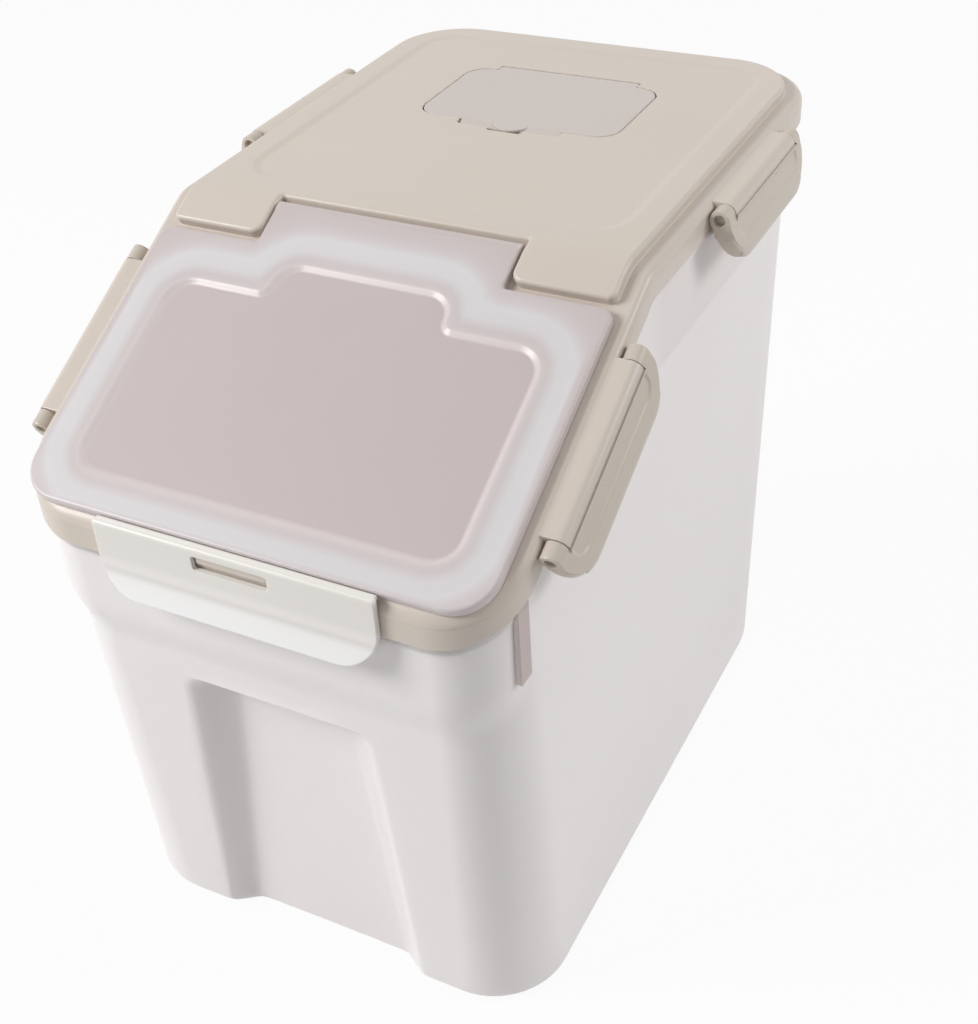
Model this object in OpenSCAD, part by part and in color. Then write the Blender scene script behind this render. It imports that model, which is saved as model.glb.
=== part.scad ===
// Rice bin with a sloped flip door, four side clips and a desiccant flap.
// +Z is up, +Y is the back, and the origin is the centre of the base on the floor.

/* [Lid] */
// Width of the lid across its flange
lid_w = 210; // [195:1:230]
// Length of the lid from front to back
lid_l = 343; // [330:1:370]
// Height of the flat part of the flange above the floor
lid_h = 291; // [265:1:330]
// How far the sloped front falls below the flat part
slope_drop = 69; // [58:1:78]
// Horizontal length of the sloped front
slope_run = 133; // [126:1:142]
// Corner radius at the back of the flange
lid_rear_r = 40; // [25:1:50]
// Corner radius at the front of the flange
lid_front_r = 30; // [20:1:34]
// Thickness of the lid's plate
lid_t = 2.6; // [2:0.1:3.4]
// Depth of the skirt below the flange
skirt_h = 12; // [10:0.5:15]
// Thickness of the skirt
skirt_t = 2; // [1.6:0.1:2.4]
// How far the inner lip lies inside the edge of the flange
lip_inset = 12.5; // [12.5:0.5:15]
// Depth of the inner lip below the flange
lip_h = 15; // [12:0.5:20]

/* [Plateau] */
// Height of the raised top above the flange
plateau_h = 4.5; // [3.5:0.1:6]
// Width of flange left around the raised top
plateau_inset = 8; // [7:0.5:10]
// Length of the two ears down the slope
ear_run = 16.5; // [14:0.5:18]
// Width of the notch between the ears
notch_w = 110; // [96:1:124]
// How far the notch reaches behind the bend
notch_back = 3; // [2:0.5:5]
// Border around the shallow panel in the raised top
panel_inset = 13; // [10:0.5:16]
// Depth of the shallow panel
panel_depth = 0.8; // [0.5:0.1:1.2]
// Corner radius of the shallow panel
panel_r = 16; // [10:1:19]

/* [Scoop mouth] */
// Width of the mouth
mouth_w = 156; // [140:1:164]
// Distance down the slope from the bend to the mouth
mouth_top = 46; // [42:1:50]
// Distance down the slope from the bend to the mouth's lower edge
mouth_bottom = 128; // [115:1:130]
// Width of the mouth's narrow part
neck_w = 70; // [55:1:80]
// Distance down the slope from the bend to the narrow part
neck_top = 31; // [29:1:34]
// Corner radius of the mouth
mouth_r = 8; // [5:1:12]

/* [Flip door] */
// Width of the flip door
door_w = 198; // [186:1:200]
// Distance down the slope from the bend to the door's shoulders
door_shoulder = 20; // [19:0.5:22]
// Distance down the slope from the bend to the door's front edge
door_front = 146.5; // [144:0.5:148]
// Height of the door's top face above the flange
door_h = 4.2; // [3.8:0.1:5]
// Thickness of the door's plate
door_t = 2.2; // [1.8:0.1:2.4]
// Thickness of the door's rim
door_rim_t = 2; // [1.6:0.1:3]
// Gap between the door's rim and the flange
door_gap = 0.4; // [0.3:0.1:0.8]
// Corner radius at the door's front
door_r = 17; // [10:1:22]
// Corner radius at the door's shoulders
shoulder_r = 5; // [3:0.5:8]
// How far the middle of the door is sunk
door_sink = 1.2; // [0.8:0.1:1.4]
// How far the sunk middle reaches past the mouth
sink_border = 3; // [2:0.5:4]
// Radius of the door's hinge barrel
door_barrel_r = 4; // [3.6:0.1:4.4]
// Radius of the door's hinge pins
door_pin_r = 1.6; // [1.2:0.1:2]
// Length of each hinge pin of the door
door_pin_l = 14; // [10:1:18]
// Gap between the door's tongue and the ears
tongue_gap = 1; // [0.6:0.1:1.4]

/* [Seals] */
// Distance from the mouth to the door seal
door_seal_inset = 5; // [4:0.5:6]
// Width of the door seal
door_seal_w = 8; // [6:0.5:9]
// Width of the rim seal
rim_seal_w = 3.2; // [2.5:0.1:3.6]
// Height of the rim seal
rim_seal_h = 2.4; // [2:0.1:3]
// Gap between a seal and the face that it closes on
seal_gap = 0.3; // [0.2:0.05:0.4]

/* [Latch flap] */
// Width of the latch flap
flap_w = 120; // [100:1:140]
// Height of the latch flap
flap_h = 30; // [26:1:36]
// Thickness of the latch flap
flap_t = 2; // [1.6:0.1:2.4]
// How far the flap's lower lip flares outwards
flap_flare = 4; // [2:0.5:6]
// Height of the flared lip
flap_lip_h = 9; // [7:0.5:11]
// Corner radius at the flap's lower edge
flap_r = 9; // [6:1:12]
// Radius of the flap's folding edge
flap_barrel_r = 1.3; // [1:0.1:1.6]
// Width of the catch tongue on the lid's front skirt
catch_w = 30; // [24:1:40]
// Height of the catch tongue
catch_h = 3.2; // [2.6:0.1:4]
// How far the catch tongue reaches into the flap's slot
catch_reach = 0.8; // [0.6:0.1:1]

/* [Side clips] */
// Length of a clip
clip_l = 88; // [80:1:92]
// Place of the rear clips' middle behind the centre of the bin
clip_rear_y = 63; // [56:1:72]
// Place of the front clips' middle down the slope
clip_front_s = 73; // [70:1:76]
// Radius of a clip's knuckle
knuckle_r = 4.2; // [3.8:0.1:4.4]
// Length of a clip's knuckle
knuckle_l = 7; // [5:0.5:9]
// Radius of the rod that a clip turns on
clip_pin_r = 2.3; // [1.8:0.1:2.5]
// How far the rod ends inside the knuckle's mouth
clip_pin_recess = 2.5; // [1.5:0.1:3.5]
// Distance from the rod to the middle of the clip's lower edge
clip_reach = 17.6; // [16.6:0.2:22]
// Lean of the clip away from the wall, in degrees
clip_lean = 17; // [13:0.5:24]
// Radius of the clip's lower edge
clip_tip_r = 3.7; // [3.4:0.1:4.2]
// Thickness of the clip's plate
clip_t = 3.5; // [2.5:0.1:4]
// Corner radius at the ends of the clip's plate
clip_corner_r = 16; // [8:1:18]
// Radius of the lid's pad around the rod
pad_r = 5; // [4.8:0.1:5.4]
// Height of the clip's hooking rib
hook_h = 3; // [2:0.2:4]
// Length of the clip's hooking rib
hook_l = 60; // [45:1:66]

/* [Tub] */
// Width of the tub's base
base_w = 205; // [190:1:207]
// Distance from the centre to the front of the base
base_front = 158.5; // [150:0.5:163]
// Distance from the centre to the back of the base
base_back = 142; // [135:1:160]
// Wall thickness of the tub
wall = 2.4; // [1.8:0.1:3]
// Thickness of the tub's floor
floor_t = 3; // [2:0.1:4]
// Corner radius at the front of the base
base_front_r = 33; // [24:1:38]
// Corner radius at the back of the base
base_back_r = 44; // [34:1:50]
// Corner radius at the front of the tub's top
tub_front_r = 25; // [20:1:28]
// Corner radius at the back of the tub's top
tub_back_r = 38; // [30:1:42]
// Setback of the tub's rim inside the edge of the flange
rim_inset = 2.6; // [2.5:0.1:3]
// Width of the tub's rim
rim_w = 4.2; // [4:0.1:5]
// How far the rim shows below the skirt
rim_show = 5; // [3:0.5:7]
// Setback of the tub's side wall inside the rim
wall_set = 1; // [0.6:0.1:1.4]
// Setback of the tub's back wall inside the rim
back_set = 4; // [2:0.5:5]
// Height of the thicker collar below the rim
collar_h = 34; // [24:1:44]
// How far the collar reaches back from the front of the tub
collar_run = 22; // [18:1:28]
// Height of the sunk panel in the front wall
recess_h = 147; // [120:1:160]
// Width of the sunk panel at the floor
recess_w = 99; // [80:1:110]
// Width that the sunk panel loses towards its top
recess_taper = 27; // [10:1:30]
// Corner radius at the top of the sunk panel
recess_r = 9; // [5:1:14]
// Depth of the sunk panel
recess_d = 8; // [5:0.5:9]
// Width of the sunk panel's sloped side walls
recess_slope = 10; // [6:1:14]

/* [Desiccant door] */
// Width of the desiccant door
dry_w = 94; // [80:1:104]
// Length of the desiccant door from its front edge to its back edge
dry_l = 57; // [50:1:62]
// Distance from the back of the lid to the desiccant door's back edge
dry_set = 54.5; // [48:0.5:60]
// Corner radius of the desiccant door
dry_r = 10; // [6:1:13]
// Thickness of the desiccant door
dry_t = 2.4; // [2:0.1:2.8]
// Width of the hinge tab
dry_tab_w = 69; // [56:1:76]
// Width of the finger tab
dry_finger_w = 48; // [38:1:56]
// Length of the finger tab
dry_finger_l = 5; // [4:0.5:7]
// Radius of the desiccant door's hinge barrel
dry_barrel_r = 1.9; // [1.8:0.1:2.1]
// Radius of the desiccant door's hinge pins
dry_pin_r = 1; // [0.8:0.05:1.1]
// Length of each hinge pin of the desiccant door
dry_pin_l = 9; // [7:0.5:11]
// Gap around the desiccant door
dry_gap = 0.4; // [0.3:0.05:0.6]

/* [Desiccant tray] */
// Depth of the tray below its flange
tray_h = 24; // [18:1:30]
// Wall thickness of the tray
tray_t = 1.6; // [1.2:0.1:2]
// Width of the ledge that carries the tray
ledge_w = 3; // [2.5:0.1:4]
// Number of slots in the tray's floor
tray_slots = 9; // [5:1:11]
// Width of a slot in the tray's floor
tray_slot_w = 3; // [2:0.1:3.6]

/* [Hidden] */
$fn = 48;
HULL_FN = 32;
EPS = 0.01;
RUN_FIT = 0.06;
PART_GAP = 0.3;

// Colours as the object shows them
BEIGE = [0.80, 0.76, 0.70];
PALE = [0.81, 0.78, 0.76];
MILKY = [0.88, 0.87, 0.86, 0.8];
CLEAR = [0.85, 0.83, 0.83, 0.6];
SOFT = [0.92, 0.92, 0.91];

// The folded top: flat at the back, sloped at the front
lid_back = lid_l / 2;
lid_front = -lid_l / 2;
bend_y = lid_front + slope_run;
slope_a = atan(slope_drop / slope_run);
slope_l = norm([slope_drop, slope_run]);
front_z = lid_h - slope_drop;
plateau_z = lid_h + plateau_h;

// The door's hinge axis, measured down the slope and up from the flange
door_pin_s = door_barrel_r + tongue_gap + 0.2 - notch_back;
door_pin_h = door_h - door_barrel_r;
trough_r = door_barrel_r + 0.4;
trough_t = 2.2;
tongue_w = notch_w - 2 * tongue_gap;

// The flap's folding edge and its faces
flap_s = door_front + flap_barrel_r + PART_GAP;
flap_axis_h = door_h - flap_barrel_r;
flap_in_y = lid_front - 0.6;
flap_out_y = flap_in_y - flap_t;
flap_axis_y = bend_y - flap_s * cos(slope_a) - flap_axis_h * sin(slope_a);
flap_axis_z = lid_h - flap_s * sin(slope_a) + flap_axis_h * cos(slope_a);
slot_top_gap = 0.6;
slot_low_gap = 2.2;

// The clips' rods
clip_x = lid_w / 2 + knuckle_r + 0.4;
pad_l = clip_l - 2 * (knuckle_l + PART_GAP);
hook_drop = skirt_h + rim_show + PART_GAP - pad_r;
hook_in = lid_w / 2 - rim_inset + PART_GAP - clip_x;

// The tub's outline where it meets the lid
rim_depth = lid_t + rim_seal_h + seal_gap;
top_inset = rim_inset + wall_set;
top_back = lid_back - rim_inset - back_set;
top_front = lid_front + top_inset;
foot_h = 5;

// The desiccant door and what carries it
dry_back = lid_back - dry_set;
dry_front = dry_back - dry_l;
dry_axis_y = dry_back + 2.5;
dry_axis_z = plateau_z - dry_barrel_r;
dry_back_gap = 1;
well_t = 2.2;
tray_rim_h = 1.5;
tray_rim_z = plateau_z - dry_t - 0.6;
ledge_z = tray_rim_z - tray_rim_h;
ledge_t = 2;
boss_w = dry_pin_l / 2 + 2;

// Outline with one radius for the two front corners and one for the two back corners
module plan(w, y0, y1, r0, r1) {
    translate([-w / 2, y0 + r0])
        square([w, y1 - y0 - r0 - r1]);
    translate([-w / 2 + r0, y0])
        square([w - 2 * r0, r0 + EPS]);
    translate([-w / 2 + r1, y1 - r1 - EPS])
        square([w - 2 * r1, r1 + EPS]);
    for (side = [-1, 1]) {
        translate([side * (w / 2 - r0), y0 + r0])
            circle(r0);
        translate([side * (w / 2 - r1), y1 - r1])
            circle(r1);
    }
}

// The flange's outline, drawn in by an inset
module flange_plan(inset) {
    plan(lid_w - 2 * inset, lid_front + inset, lid_back - inset,
        lid_front_r - inset, lid_rear_r - inset);
}

// Points of the folded top between two places along Y, at a depth below its surface
function fold(y0, y1, d) = [
    [y1, lid_h - d],
    [bend_y + d * tan(slope_a / 2), lid_h - d],
    [y0, lid_h - (bend_y - y0) * tan(slope_a) - d / cos(slope_a)]
];

function back_to_front(list) = [for (i = [len(list) - 1 : -1 : 0]) list[i]];

// Slab that follows the folded top between two depths
module folded(y0, y1, d0, d1, w) {
    rotate([90, 0, 90])
        linear_extrude(w, center = true)
            polygon(concat(fold(y0, y1, d0), back_to_front(fold(y0, y1, d1))));
}

// Flange outline, drawn in by an inset and kept between two depths of the folded top
module folded_plan(inset, d0, d1) {
    intersection() {
        linear_extrude(lid_h + 2 * plateau_h)
            flange_plan(inset);
        folded(lid_front - 1, lid_back + 1, d0, d1, lid_w + 2);
    }
}

// Places its children on the slope: x across, y up the slope, z out of it
module on_slope() {
    translate([0, bend_y, lid_h])
        rotate([slope_a, 0, 0])
            children();
}

// Rod along X
module rod_x(x0, x1, r) {
    translate([x0, 0, 0])
        rotate([0, 90, 0])
            cylinder(h = x1 - x0, r = r);
}

// Raised top with its two ears, drawn in by an inset
module plateau(inset, d0, d1) {
    difference() {
        folded_plan(plateau_inset + inset, d0, d1);
        on_slope()
            translate([-lid_w, -ear_run + inset - slope_l, -lid_h])
                cube([2 * lid_w, slope_l, 2 * lid_h]);
        folded(lid_front, bend_y + notch_back + inset, d0 - 1, d1 + 1, notch_w + 2 * inset);
    }
}

// Mouth outline on the slope, grown by a border
module mouth_plan(grow) {
    offset(r = -mouth_r)
        offset(r = 2 * mouth_r + grow)
            offset(delta = -mouth_r) {
                translate([-mouth_w / 2, -mouth_bottom])
                    square([mouth_w, mouth_bottom - mouth_top]);
                translate([-neck_w / 2, -mouth_bottom])
                    square([neck_w, mouth_bottom - neck_top]);
            }
}

// Flip door outline on the slope, drawn in by an inset
module door_plan(inset) {
    plan(door_w - 2 * inset, -door_front + inset, -door_shoulder - inset,
        door_r - inset, shoulder_r - inset);
    translate([-tongue_w / 2 + inset, -door_shoulder - shoulder_r - inset])
        square([tongue_w - 2 * inset, door_shoulder + shoulder_r + inset - door_pin_s]);
}

// Desiccant door outline, grown by a gap
module dry_plan(gap, back_gap) {
    plan(dry_w + 2 * gap, dry_front - gap, dry_back + back_gap, dry_r + gap, dry_r + gap);
    translate([-dry_finger_w / 2 - gap, dry_front - dry_finger_l - gap])
        square([dry_finger_w + 2 * gap, dry_finger_l + dry_r]);
}

// Recess for the desiccant door's hinge tab
module dry_tab_recess() {
    translate([-dry_tab_w / 2 - PART_GAP, dry_back - 1, plateau_z - dry_t - 2])
        cube([dry_tab_w + 2 * PART_GAP, dry_axis_y + 3 - dry_back + 1, dry_t + 3]);
}

// Pads of the lid that hold a clip's rod, along Y at the origin
module pad() {
    rotate([90, 0, 0])
        linear_extrude(pad_l, center = true) {
            circle(pad_r);
            translate([-knuckle_r - 0.4 - skirt_t, -pad_r])
                square([knuckle_r + 0.4 + skirt_t, 2 * pad_r]);
        }
}

module rod_y(l, r) {
    rotate([90, 0, 0])
        cylinder(h = l, r = r, center = true);
}

// Places its children at a clip's rod: end is "rear" or "front", side is -1 or 1
module at_clip(end, side) {
    mirror([side < 0 ? 1 : 0, 0, 0]) {
        if (end == "rear")
            translate([clip_x, clip_rear_y, lid_h - pad_r])
                children();
        if (end == "front")
            on_slope()
                translate([clip_x, -clip_front_s, -pad_r])
                    children();
    }
}

// Well around the desiccant opening, with the ledge that carries the tray
module dry_well() {
    translate([0, 0, ledge_z - ledge_t])
        linear_extrude(plateau_z - ledge_z + ledge_t - EPS)
            plan(dry_w + 2 * (dry_gap + well_t), dry_front - dry_finger_l - dry_gap - well_t,
                dry_axis_y + 3 + well_t, dry_r + well_t, dry_r + well_t);
}

module dry_bosses() {
    for (side = [-1, 1])
        translate([side * (dry_tab_w / 2 + PART_GAP + boss_w / 2) - boss_w / 2,
            dry_axis_y - 4, ledge_z - ledge_t])
            cube([boss_w, 7, plateau_z - ledge_z + ledge_t - EPS]);
}

module lid_shell() {
    difference() {
        union() {
            folded_plan(0, 0, skirt_h);
            plateau(0, -plateau_h, lid_t);
        }
        folded_plan(skirt_t, lid_t, skirt_h + 5);
        plateau(2.2, lid_t - plateau_h, lid_t + 1);
        translate([0, 0, plateau_z - panel_depth])
            linear_extrude(plateau_h)
                plan(lid_w - 2 * (plateau_inset + panel_inset), bend_y + notch_back + panel_inset,
                    lid_back - plateau_inset - panel_inset, panel_r, panel_r);
    }
    difference() {
        folded_plan(lip_inset, 0, lip_h);
        folded_plan(lip_inset + skirt_t, -1, lip_h + 1);
    }
}

module lid_frame() {
    color(BEIGE)
        difference() {
            union() {
                lid_shell();
                intersection() {
                    on_slope()
                        translate([0, -door_pin_s, door_pin_h])
                            rod_x(-notch_w / 2 - door_pin_l, notch_w / 2 + door_pin_l, trough_r + trough_t);
                    folded(lid_front, lid_back, -plateau_h, lid_h, lid_w);
                }
                for (end = ["front", "rear"])
                    for (side = [-1, 1])
                        at_clip(end, side)
                            pad();
                translate([-catch_w / 2, lid_front - 0.6 - catch_reach, front_z - catch_h])
                    cube([catch_w, catch_reach + 0.6 + skirt_t, catch_h]);
                dry_well();
                dry_bosses();
            }
            folded(lid_front + plateau_inset, bend_y + notch_back, -2 * plateau_h, 0, notch_w);
            on_slope() {
                translate([0, -door_pin_s, door_pin_h])
                    rod_x(-notch_w / 2, notch_w / 2, trough_r);
                translate([0, -door_pin_s, door_pin_h])
                    rod_x(-tongue_w / 2 - door_pin_l / 2, tongue_w / 2 + door_pin_l / 2, door_pin_r);
                translate([0, 0, -lid_h])
                    linear_extrude(2 * lid_h)
                        mouth_plan(0);
            }
            for (end = ["front", "rear"])
                for (side = [-1, 1])
                    at_clip(end, side)
                        rod_y(clip_l, clip_pin_r);
            translate([0, 0, ledge_z])
                linear_extrude(lid_h)
                    dry_plan(dry_gap, dry_back_gap);
            dry_tab_recess();
            translate([0, 0, ledge_z - ledge_t - 1])
                linear_extrude(lid_h)
                    plan(dry_w - 2 * ledge_w, dry_front + ledge_w, dry_back - ledge_w,
                        dry_r - ledge_w, dry_r - ledge_w);
            translate([0, dry_axis_y, dry_axis_z])
                rod_x(-dry_tab_w / 2 - dry_pin_l / 2, dry_tab_w / 2 + dry_pin_l / 2, dry_pin_r);
            translate([0, dry_front - dry_finger_l, plateau_z - dry_t])
                cylinder(h = dry_t + 1, r = dry_finger_l + 2);
        }
}

module rim_seal() {
    color(SOFT)
        difference() {
            folded_plan(rim_inset + 0.5, lid_t, lid_t + rim_seal_h);
            folded_plan(rim_inset + 0.5 + rim_seal_w, lid_t - 1, lid_t + rim_seal_h + 1);
        }
}

module flip_door() {
    color(CLEAR)
        on_slope()
            difference() {
                union() {
                    difference() {
                        translate([0, 0, door_gap])
                            linear_extrude(door_h - door_gap)
                                door_plan(0);
                        translate([0, 0, door_gap - 1])
                            linear_extrude(door_h - door_t - door_gap + 1)
                                door_plan(door_rim_t);
                        translate([0, 0, door_h - door_sink])
                            linear_extrude(door_h)
                                mouth_plan(sink_border);
                    }
                    translate([0, 0, door_h - door_sink - door_t])
                        linear_extrude(door_t)
                            mouth_plan(sink_border);
                    translate([0, -door_pin_s, door_pin_h])
                        rod_x(-tongue_w / 2, tongue_w / 2, door_barrel_r);
                }
                for (side = [-1, 1])
                    translate([side * tongue_w / 2, -door_pin_s, door_pin_h])
                        rod_x(-door_pin_l / 2 - 0.5, door_pin_l / 2 + 0.5, door_pin_r + RUN_FIT);
            }
}

module door_seal() {
    color(SOFT)
        on_slope()
            translate([0, 0, seal_gap])
                linear_extrude(door_h - door_t - seal_gap)
                    difference() {
                        mouth_plan(door_seal_inset + door_seal_w);
                        mouth_plan(door_seal_inset);
                    }
}

module door_pin(side) {
    color(BEIGE)
        on_slope()
            translate([side * tongue_w / 2, -door_pin_s, door_pin_h])
                rod_x(-door_pin_l / 2, door_pin_l / 2, door_pin_r);
}

// The flap's profile in Y and Z: a folding edge, a plate and a flared lip
module flap_profile() {
    lip_z = flap_axis_z - flap_h + flap_lip_h;
    translate([flap_axis_y, flap_axis_z])
        circle(flap_barrel_r);
    polygon([
        [flap_axis_y, flap_axis_z + flap_barrel_r],
        [flap_out_y, flap_axis_z - 1],
        [flap_out_y, lip_z],
        [flap_out_y - flap_flare, flap_axis_z - flap_h],
        [flap_in_y - flap_flare, flap_axis_z - flap_h],
        [flap_in_y, lip_z],
        [flap_in_y, flap_axis_z - flap_barrel_r],
        [flap_axis_y, flap_axis_z - flap_barrel_r]
    ]);
}

module latch_flap() {
    color(CLEAR)
        difference() {
            intersection() {
                rotate([90, 0, 90])
                    linear_extrude(flap_w, center = true)
                        flap_profile();
                translate([0, flap_axis_y + 2 * flap_barrel_r, 0])
                    rotate([90, 0, 0])
                        linear_extrude(4 * flap_barrel_r + flap_t + flap_flare)
                            plan(flap_w, flap_axis_z - flap_h, flap_axis_z + flap_h, flap_r, 1);
            }
            translate([-catch_w / 2 - 1, flap_out_y - 1, front_z - catch_h - slot_low_gap])
                cube([catch_w + 2, flap_t + 2, catch_h + slot_low_gap + slot_top_gap]);
        }
}

// Side view of a clip around its rod: a knuckle that leans out to a round lower edge
module clip_side() {
    rotate(clip_lean) {
        circle(knuckle_r);
        translate([0, -clip_reach])
            circle(clip_tip_r);
        polygon([[-knuckle_r, 0], [knuckle_r, 0], [clip_tip_r, -clip_reach], [-clip_tip_r, -clip_reach]]);
    }
}

// The same view of the plate between the knuckles
module clip_plate_side() {
    difference() {
        clip_side();
        circle(pad_r + PART_GAP);
        rotate(clip_lean)
            translate([-knuckle_r - 1, -clip_reach])
                square([2 * knuckle_r + 1 - clip_t, clip_reach + knuckle_r + 1]);
    }
}

module clip_body() {
    difference() {
        union() {
            for (end = [-1, 1])
                translate([0, end * (clip_l - knuckle_l) / 2, 0])
                    rotate([90, 0, 0])
                        linear_extrude(knuckle_l, center = true)
                            clip_side();
            rotate([90, 0, 0])
                linear_extrude(clip_l - knuckle_l, center = true)
                    clip_plate_side();
            translate([hook_in, -hook_l / 2, -hook_drop - hook_h])
                cube([hook_drop * tan(clip_lean) + knuckle_r - 1 - hook_in, hook_l, hook_h]);
        }
        rod_y(clip_l + 1, clip_pin_r + RUN_FIT);
        for (end = [-1, 1])
            clip_corner_cut(end);
    }
}

// Rounds one lower corner of a clip, seen square to its plate
module clip_corner_cut(end) {
    rotate([0, -clip_lean, 0])
        translate([0, 0, -clip_reach - clip_tip_r])
            rotate([90, 0, 90])
                linear_extrude(4 * knuckle_r, center = true)
                    translate([end * clip_l / 2, 0])
                        mirror([end < 0 ? 0 : 1, 0])
                            difference() {
                                translate([-1, -1])
                                    square(clip_corner_r + 1);
                                translate([clip_corner_r, clip_corner_r])
                                    circle(clip_corner_r);
                            }
}

module clip(end, side) {
    color(BEIGE)
        at_clip(end, side)
            clip_body();
}

module clip_pin(end, side) {
    color(BEIGE)
        at_clip(end, side)
            rod_y(clip_l - 2 * clip_pin_recess, clip_pin_r);
}

module desiccant_door() {
    color(PALE)
        difference() {
            union() {
                translate([0, 0, plateau_z - dry_t])
                    linear_extrude(dry_t)
                        dry_plan(0, 0);
                translate([-dry_tab_w / 2, dry_back - 1, plateau_z - dry_t])
                    cube([dry_tab_w, dry_axis_y - dry_back + 1, dry_t]);
                translate([0, dry_axis_y, dry_axis_z])
                    rod_x(-dry_tab_w / 2, dry_tab_w / 2, dry_barrel_r);
            }
            for (side = [-1, 1])
                translate([side * dry_tab_w / 2, dry_axis_y, dry_axis_z])
                    rod_x(-dry_pin_l / 2 - 0.5, dry_pin_l / 2 + 0.5, dry_pin_r + RUN_FIT);
        }
}

module desiccant_pin(side) {
    color(BEIGE)
        translate([side * dry_tab_w / 2, dry_axis_y, dry_axis_z])
            rod_x(-dry_pin_l / 2, dry_pin_l / 2, dry_pin_r);
}

module desiccant_tray() {
    hole_w = dry_w - 2 * ledge_w;
    box_w = hole_w - 2 * PART_GAP;
    box_y0 = dry_front + ledge_w + PART_GAP;
    box_y1 = dry_back - ledge_w - PART_GAP;
    box_r = dry_r - ledge_w - PART_GAP;
    slot_pitch = (box_w - 2 * box_r) / tray_slots;
    color(MILKY)
        difference() {
            union() {
                translate([0, 0, ledge_z])
                    linear_extrude(tray_rim_h)
                        plan(dry_w, dry_front, dry_back, dry_r, dry_r);
                translate([0, 0, ledge_z - tray_h])
                    linear_extrude(tray_h + EPS)
                        plan(box_w, box_y0, box_y1, box_r, box_r);
            }
            translate([0, 0, ledge_z - tray_h + tray_t])
                linear_extrude(tray_h + tray_rim_h)
                    plan(box_w - 2 * tray_t, box_y0 + tray_t, box_y1 - tray_t,
                        box_r - tray_t, box_r - tray_t);
            for (i = [0 : tray_slots - 1])
                translate([(i - (tray_slots - 1) / 2) * slot_pitch - tray_slot_w / 2,
                    box_y0 + box_r, ledge_z - tray_h - 1])
                    cube([tray_slot_w, box_y1 - box_y0 - 2 * box_r, tray_t + 2]);
        }
}

// One level of the tub's tapering outline: share 0 is the base and 1 is the lid's height
module tub_level(share, inset, z) {
    w = base_w + share * (lid_w - 2 * top_inset - base_w);
    front = -base_front + share * (top_front + base_front);
    back = base_back + share * (top_back - base_back);
    front_r = base_front_r + share * (tub_front_r - base_front_r);
    back_r = base_back_r + share * (tub_back_r - base_back_r);
    translate([0, 0, z])
        linear_extrude(EPS)
            plan(w - 2 * inset, front + inset, back - inset, front_r - inset, back_r - inset, $fn = HULL_FN);
}

module tub_outer() {
    hull() {
        tub_level(0, 4, 0);
        tub_level(0, 1.2, 1.5);
        tub_level(foot_h / lid_h, 0, foot_h);
        tub_level(1, 0, lid_h);
    }
}

module tub_inner() {
    hull() {
        tub_level(floor_t / lid_h, wall + 3, floor_t);
        tub_level((foot_h + floor_t) / lid_h, wall, foot_h + floor_t);
        tub_level(1, wall, lid_h + 1);
    }
}

// One level of the front wall's sunk panel, with its sloped side walls, grown by a border
module recess_level(grow, inset, z) {
    run = 2 * recess_slope;
    deep = 2 * recess_d;
    half = recess_w / 2 - recess_taper / 2 * z / recess_h - inset + grow * (norm([run, deep]) - run) / deep;
    y_in = -base_front + recess_d + grow;
    translate([0, 0, z])
        linear_extrude(EPS)
            polygon([
                [-half - recess_slope, y_in - deep],
                [half + recess_slope, y_in - deep],
                [half - recess_slope, y_in],
                [-half + recess_slope, y_in]
            ]);
}

// Sunk panel of the front wall with rounded upper corners, grown by a border
module recess(grow) {
    r = recess_r + grow;
    hull() {
        recess_level(grow, 0, -1);
        for (a = [0 : 22.5 : 90])
            recess_level(grow, r * (1 - cos(a)), recess_h + grow - r * (1 - sin(a)));
    }
}

// Band of the tub's rim that follows the folded top
module rim_band() {
    difference() {
        folded_plan(rim_inset, rim_depth, skirt_h + rim_show);
        folded_plan(rim_inset + rim_w, rim_depth - 1, skirt_h + rim_show + 1);
    }
}

// Thicker collar around the front of the tub
module collar() {
    intersection() {
        folded_plan(rim_inset + 0.3, skirt_h, skirt_h + rim_show + collar_h);
        translate([-lid_w, lid_front - 1, 0])
            cube([2 * lid_w, collar_run + rim_inset + 1, lid_h]);
    }
}

module tub() {
    color(MILKY)
        difference() {
            union() {
                difference() {
                    union() {
                        tub_outer();
                        collar();
                    }
                    recess(0);
                    folded(lid_front - 1, lid_back + 1, -lid_h, rim_depth, lid_w + 2);
                }
                rim_band();
            }
            difference() {
                tub_inner();
                recess(wall);
                difference() {
                    folded_plan(rim_inset, rim_depth, skirt_h + rim_show);
                    folded_plan(rim_inset + rim_w, rim_depth - 1, skirt_h + rim_show + 1);
                }
            }
        }
}

tub();
lid_frame();
rim_seal();
flip_door();
door_seal();
latch_flap();
door_pin(-1);  // door_pin_left
door_pin(1);  // door_pin_right
clip("front", -1);  // clip_front_left
clip("front", 1);  // clip_front_right
clip("rear", -1);  // clip_rear_left
clip("rear", 1);  // clip_rear_right
clip_pin("front", -1);  // clip_pin_front_left
clip_pin("front", 1);  // clip_pin_front_right
clip_pin("rear", -1);  // clip_pin_rear_left
clip_pin("rear", 1);  // clip_pin_rear_right
desiccant_door();
desiccant_pin(-1);  // desiccant_pin_left
desiccant_pin(1);  // desiccant_pin_right
desiccant_tray();
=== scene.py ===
# %% [markdown]
# # Rice bin with a flip lid
# A rice bin is a tall tub of milky plastic under a stiffer lid. The lid is flat at the back and slopes
# down at the front, where a see-through door covers the scoop mouth. Four clips hold the lid to the tub.
# Everything here is moulded plastic, so the look comes from large soft edges, thin walls that let
# some light through, and small gaps between neighbours. The measured parts come first, as a fixed frame
# that each finer piece is built on.

# %% Load the measured parts
import math

import bmesh
import bpy
from mathutils import Matrix, Vector
from mathutils.geometry import delaunay_2d_cdt


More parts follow.
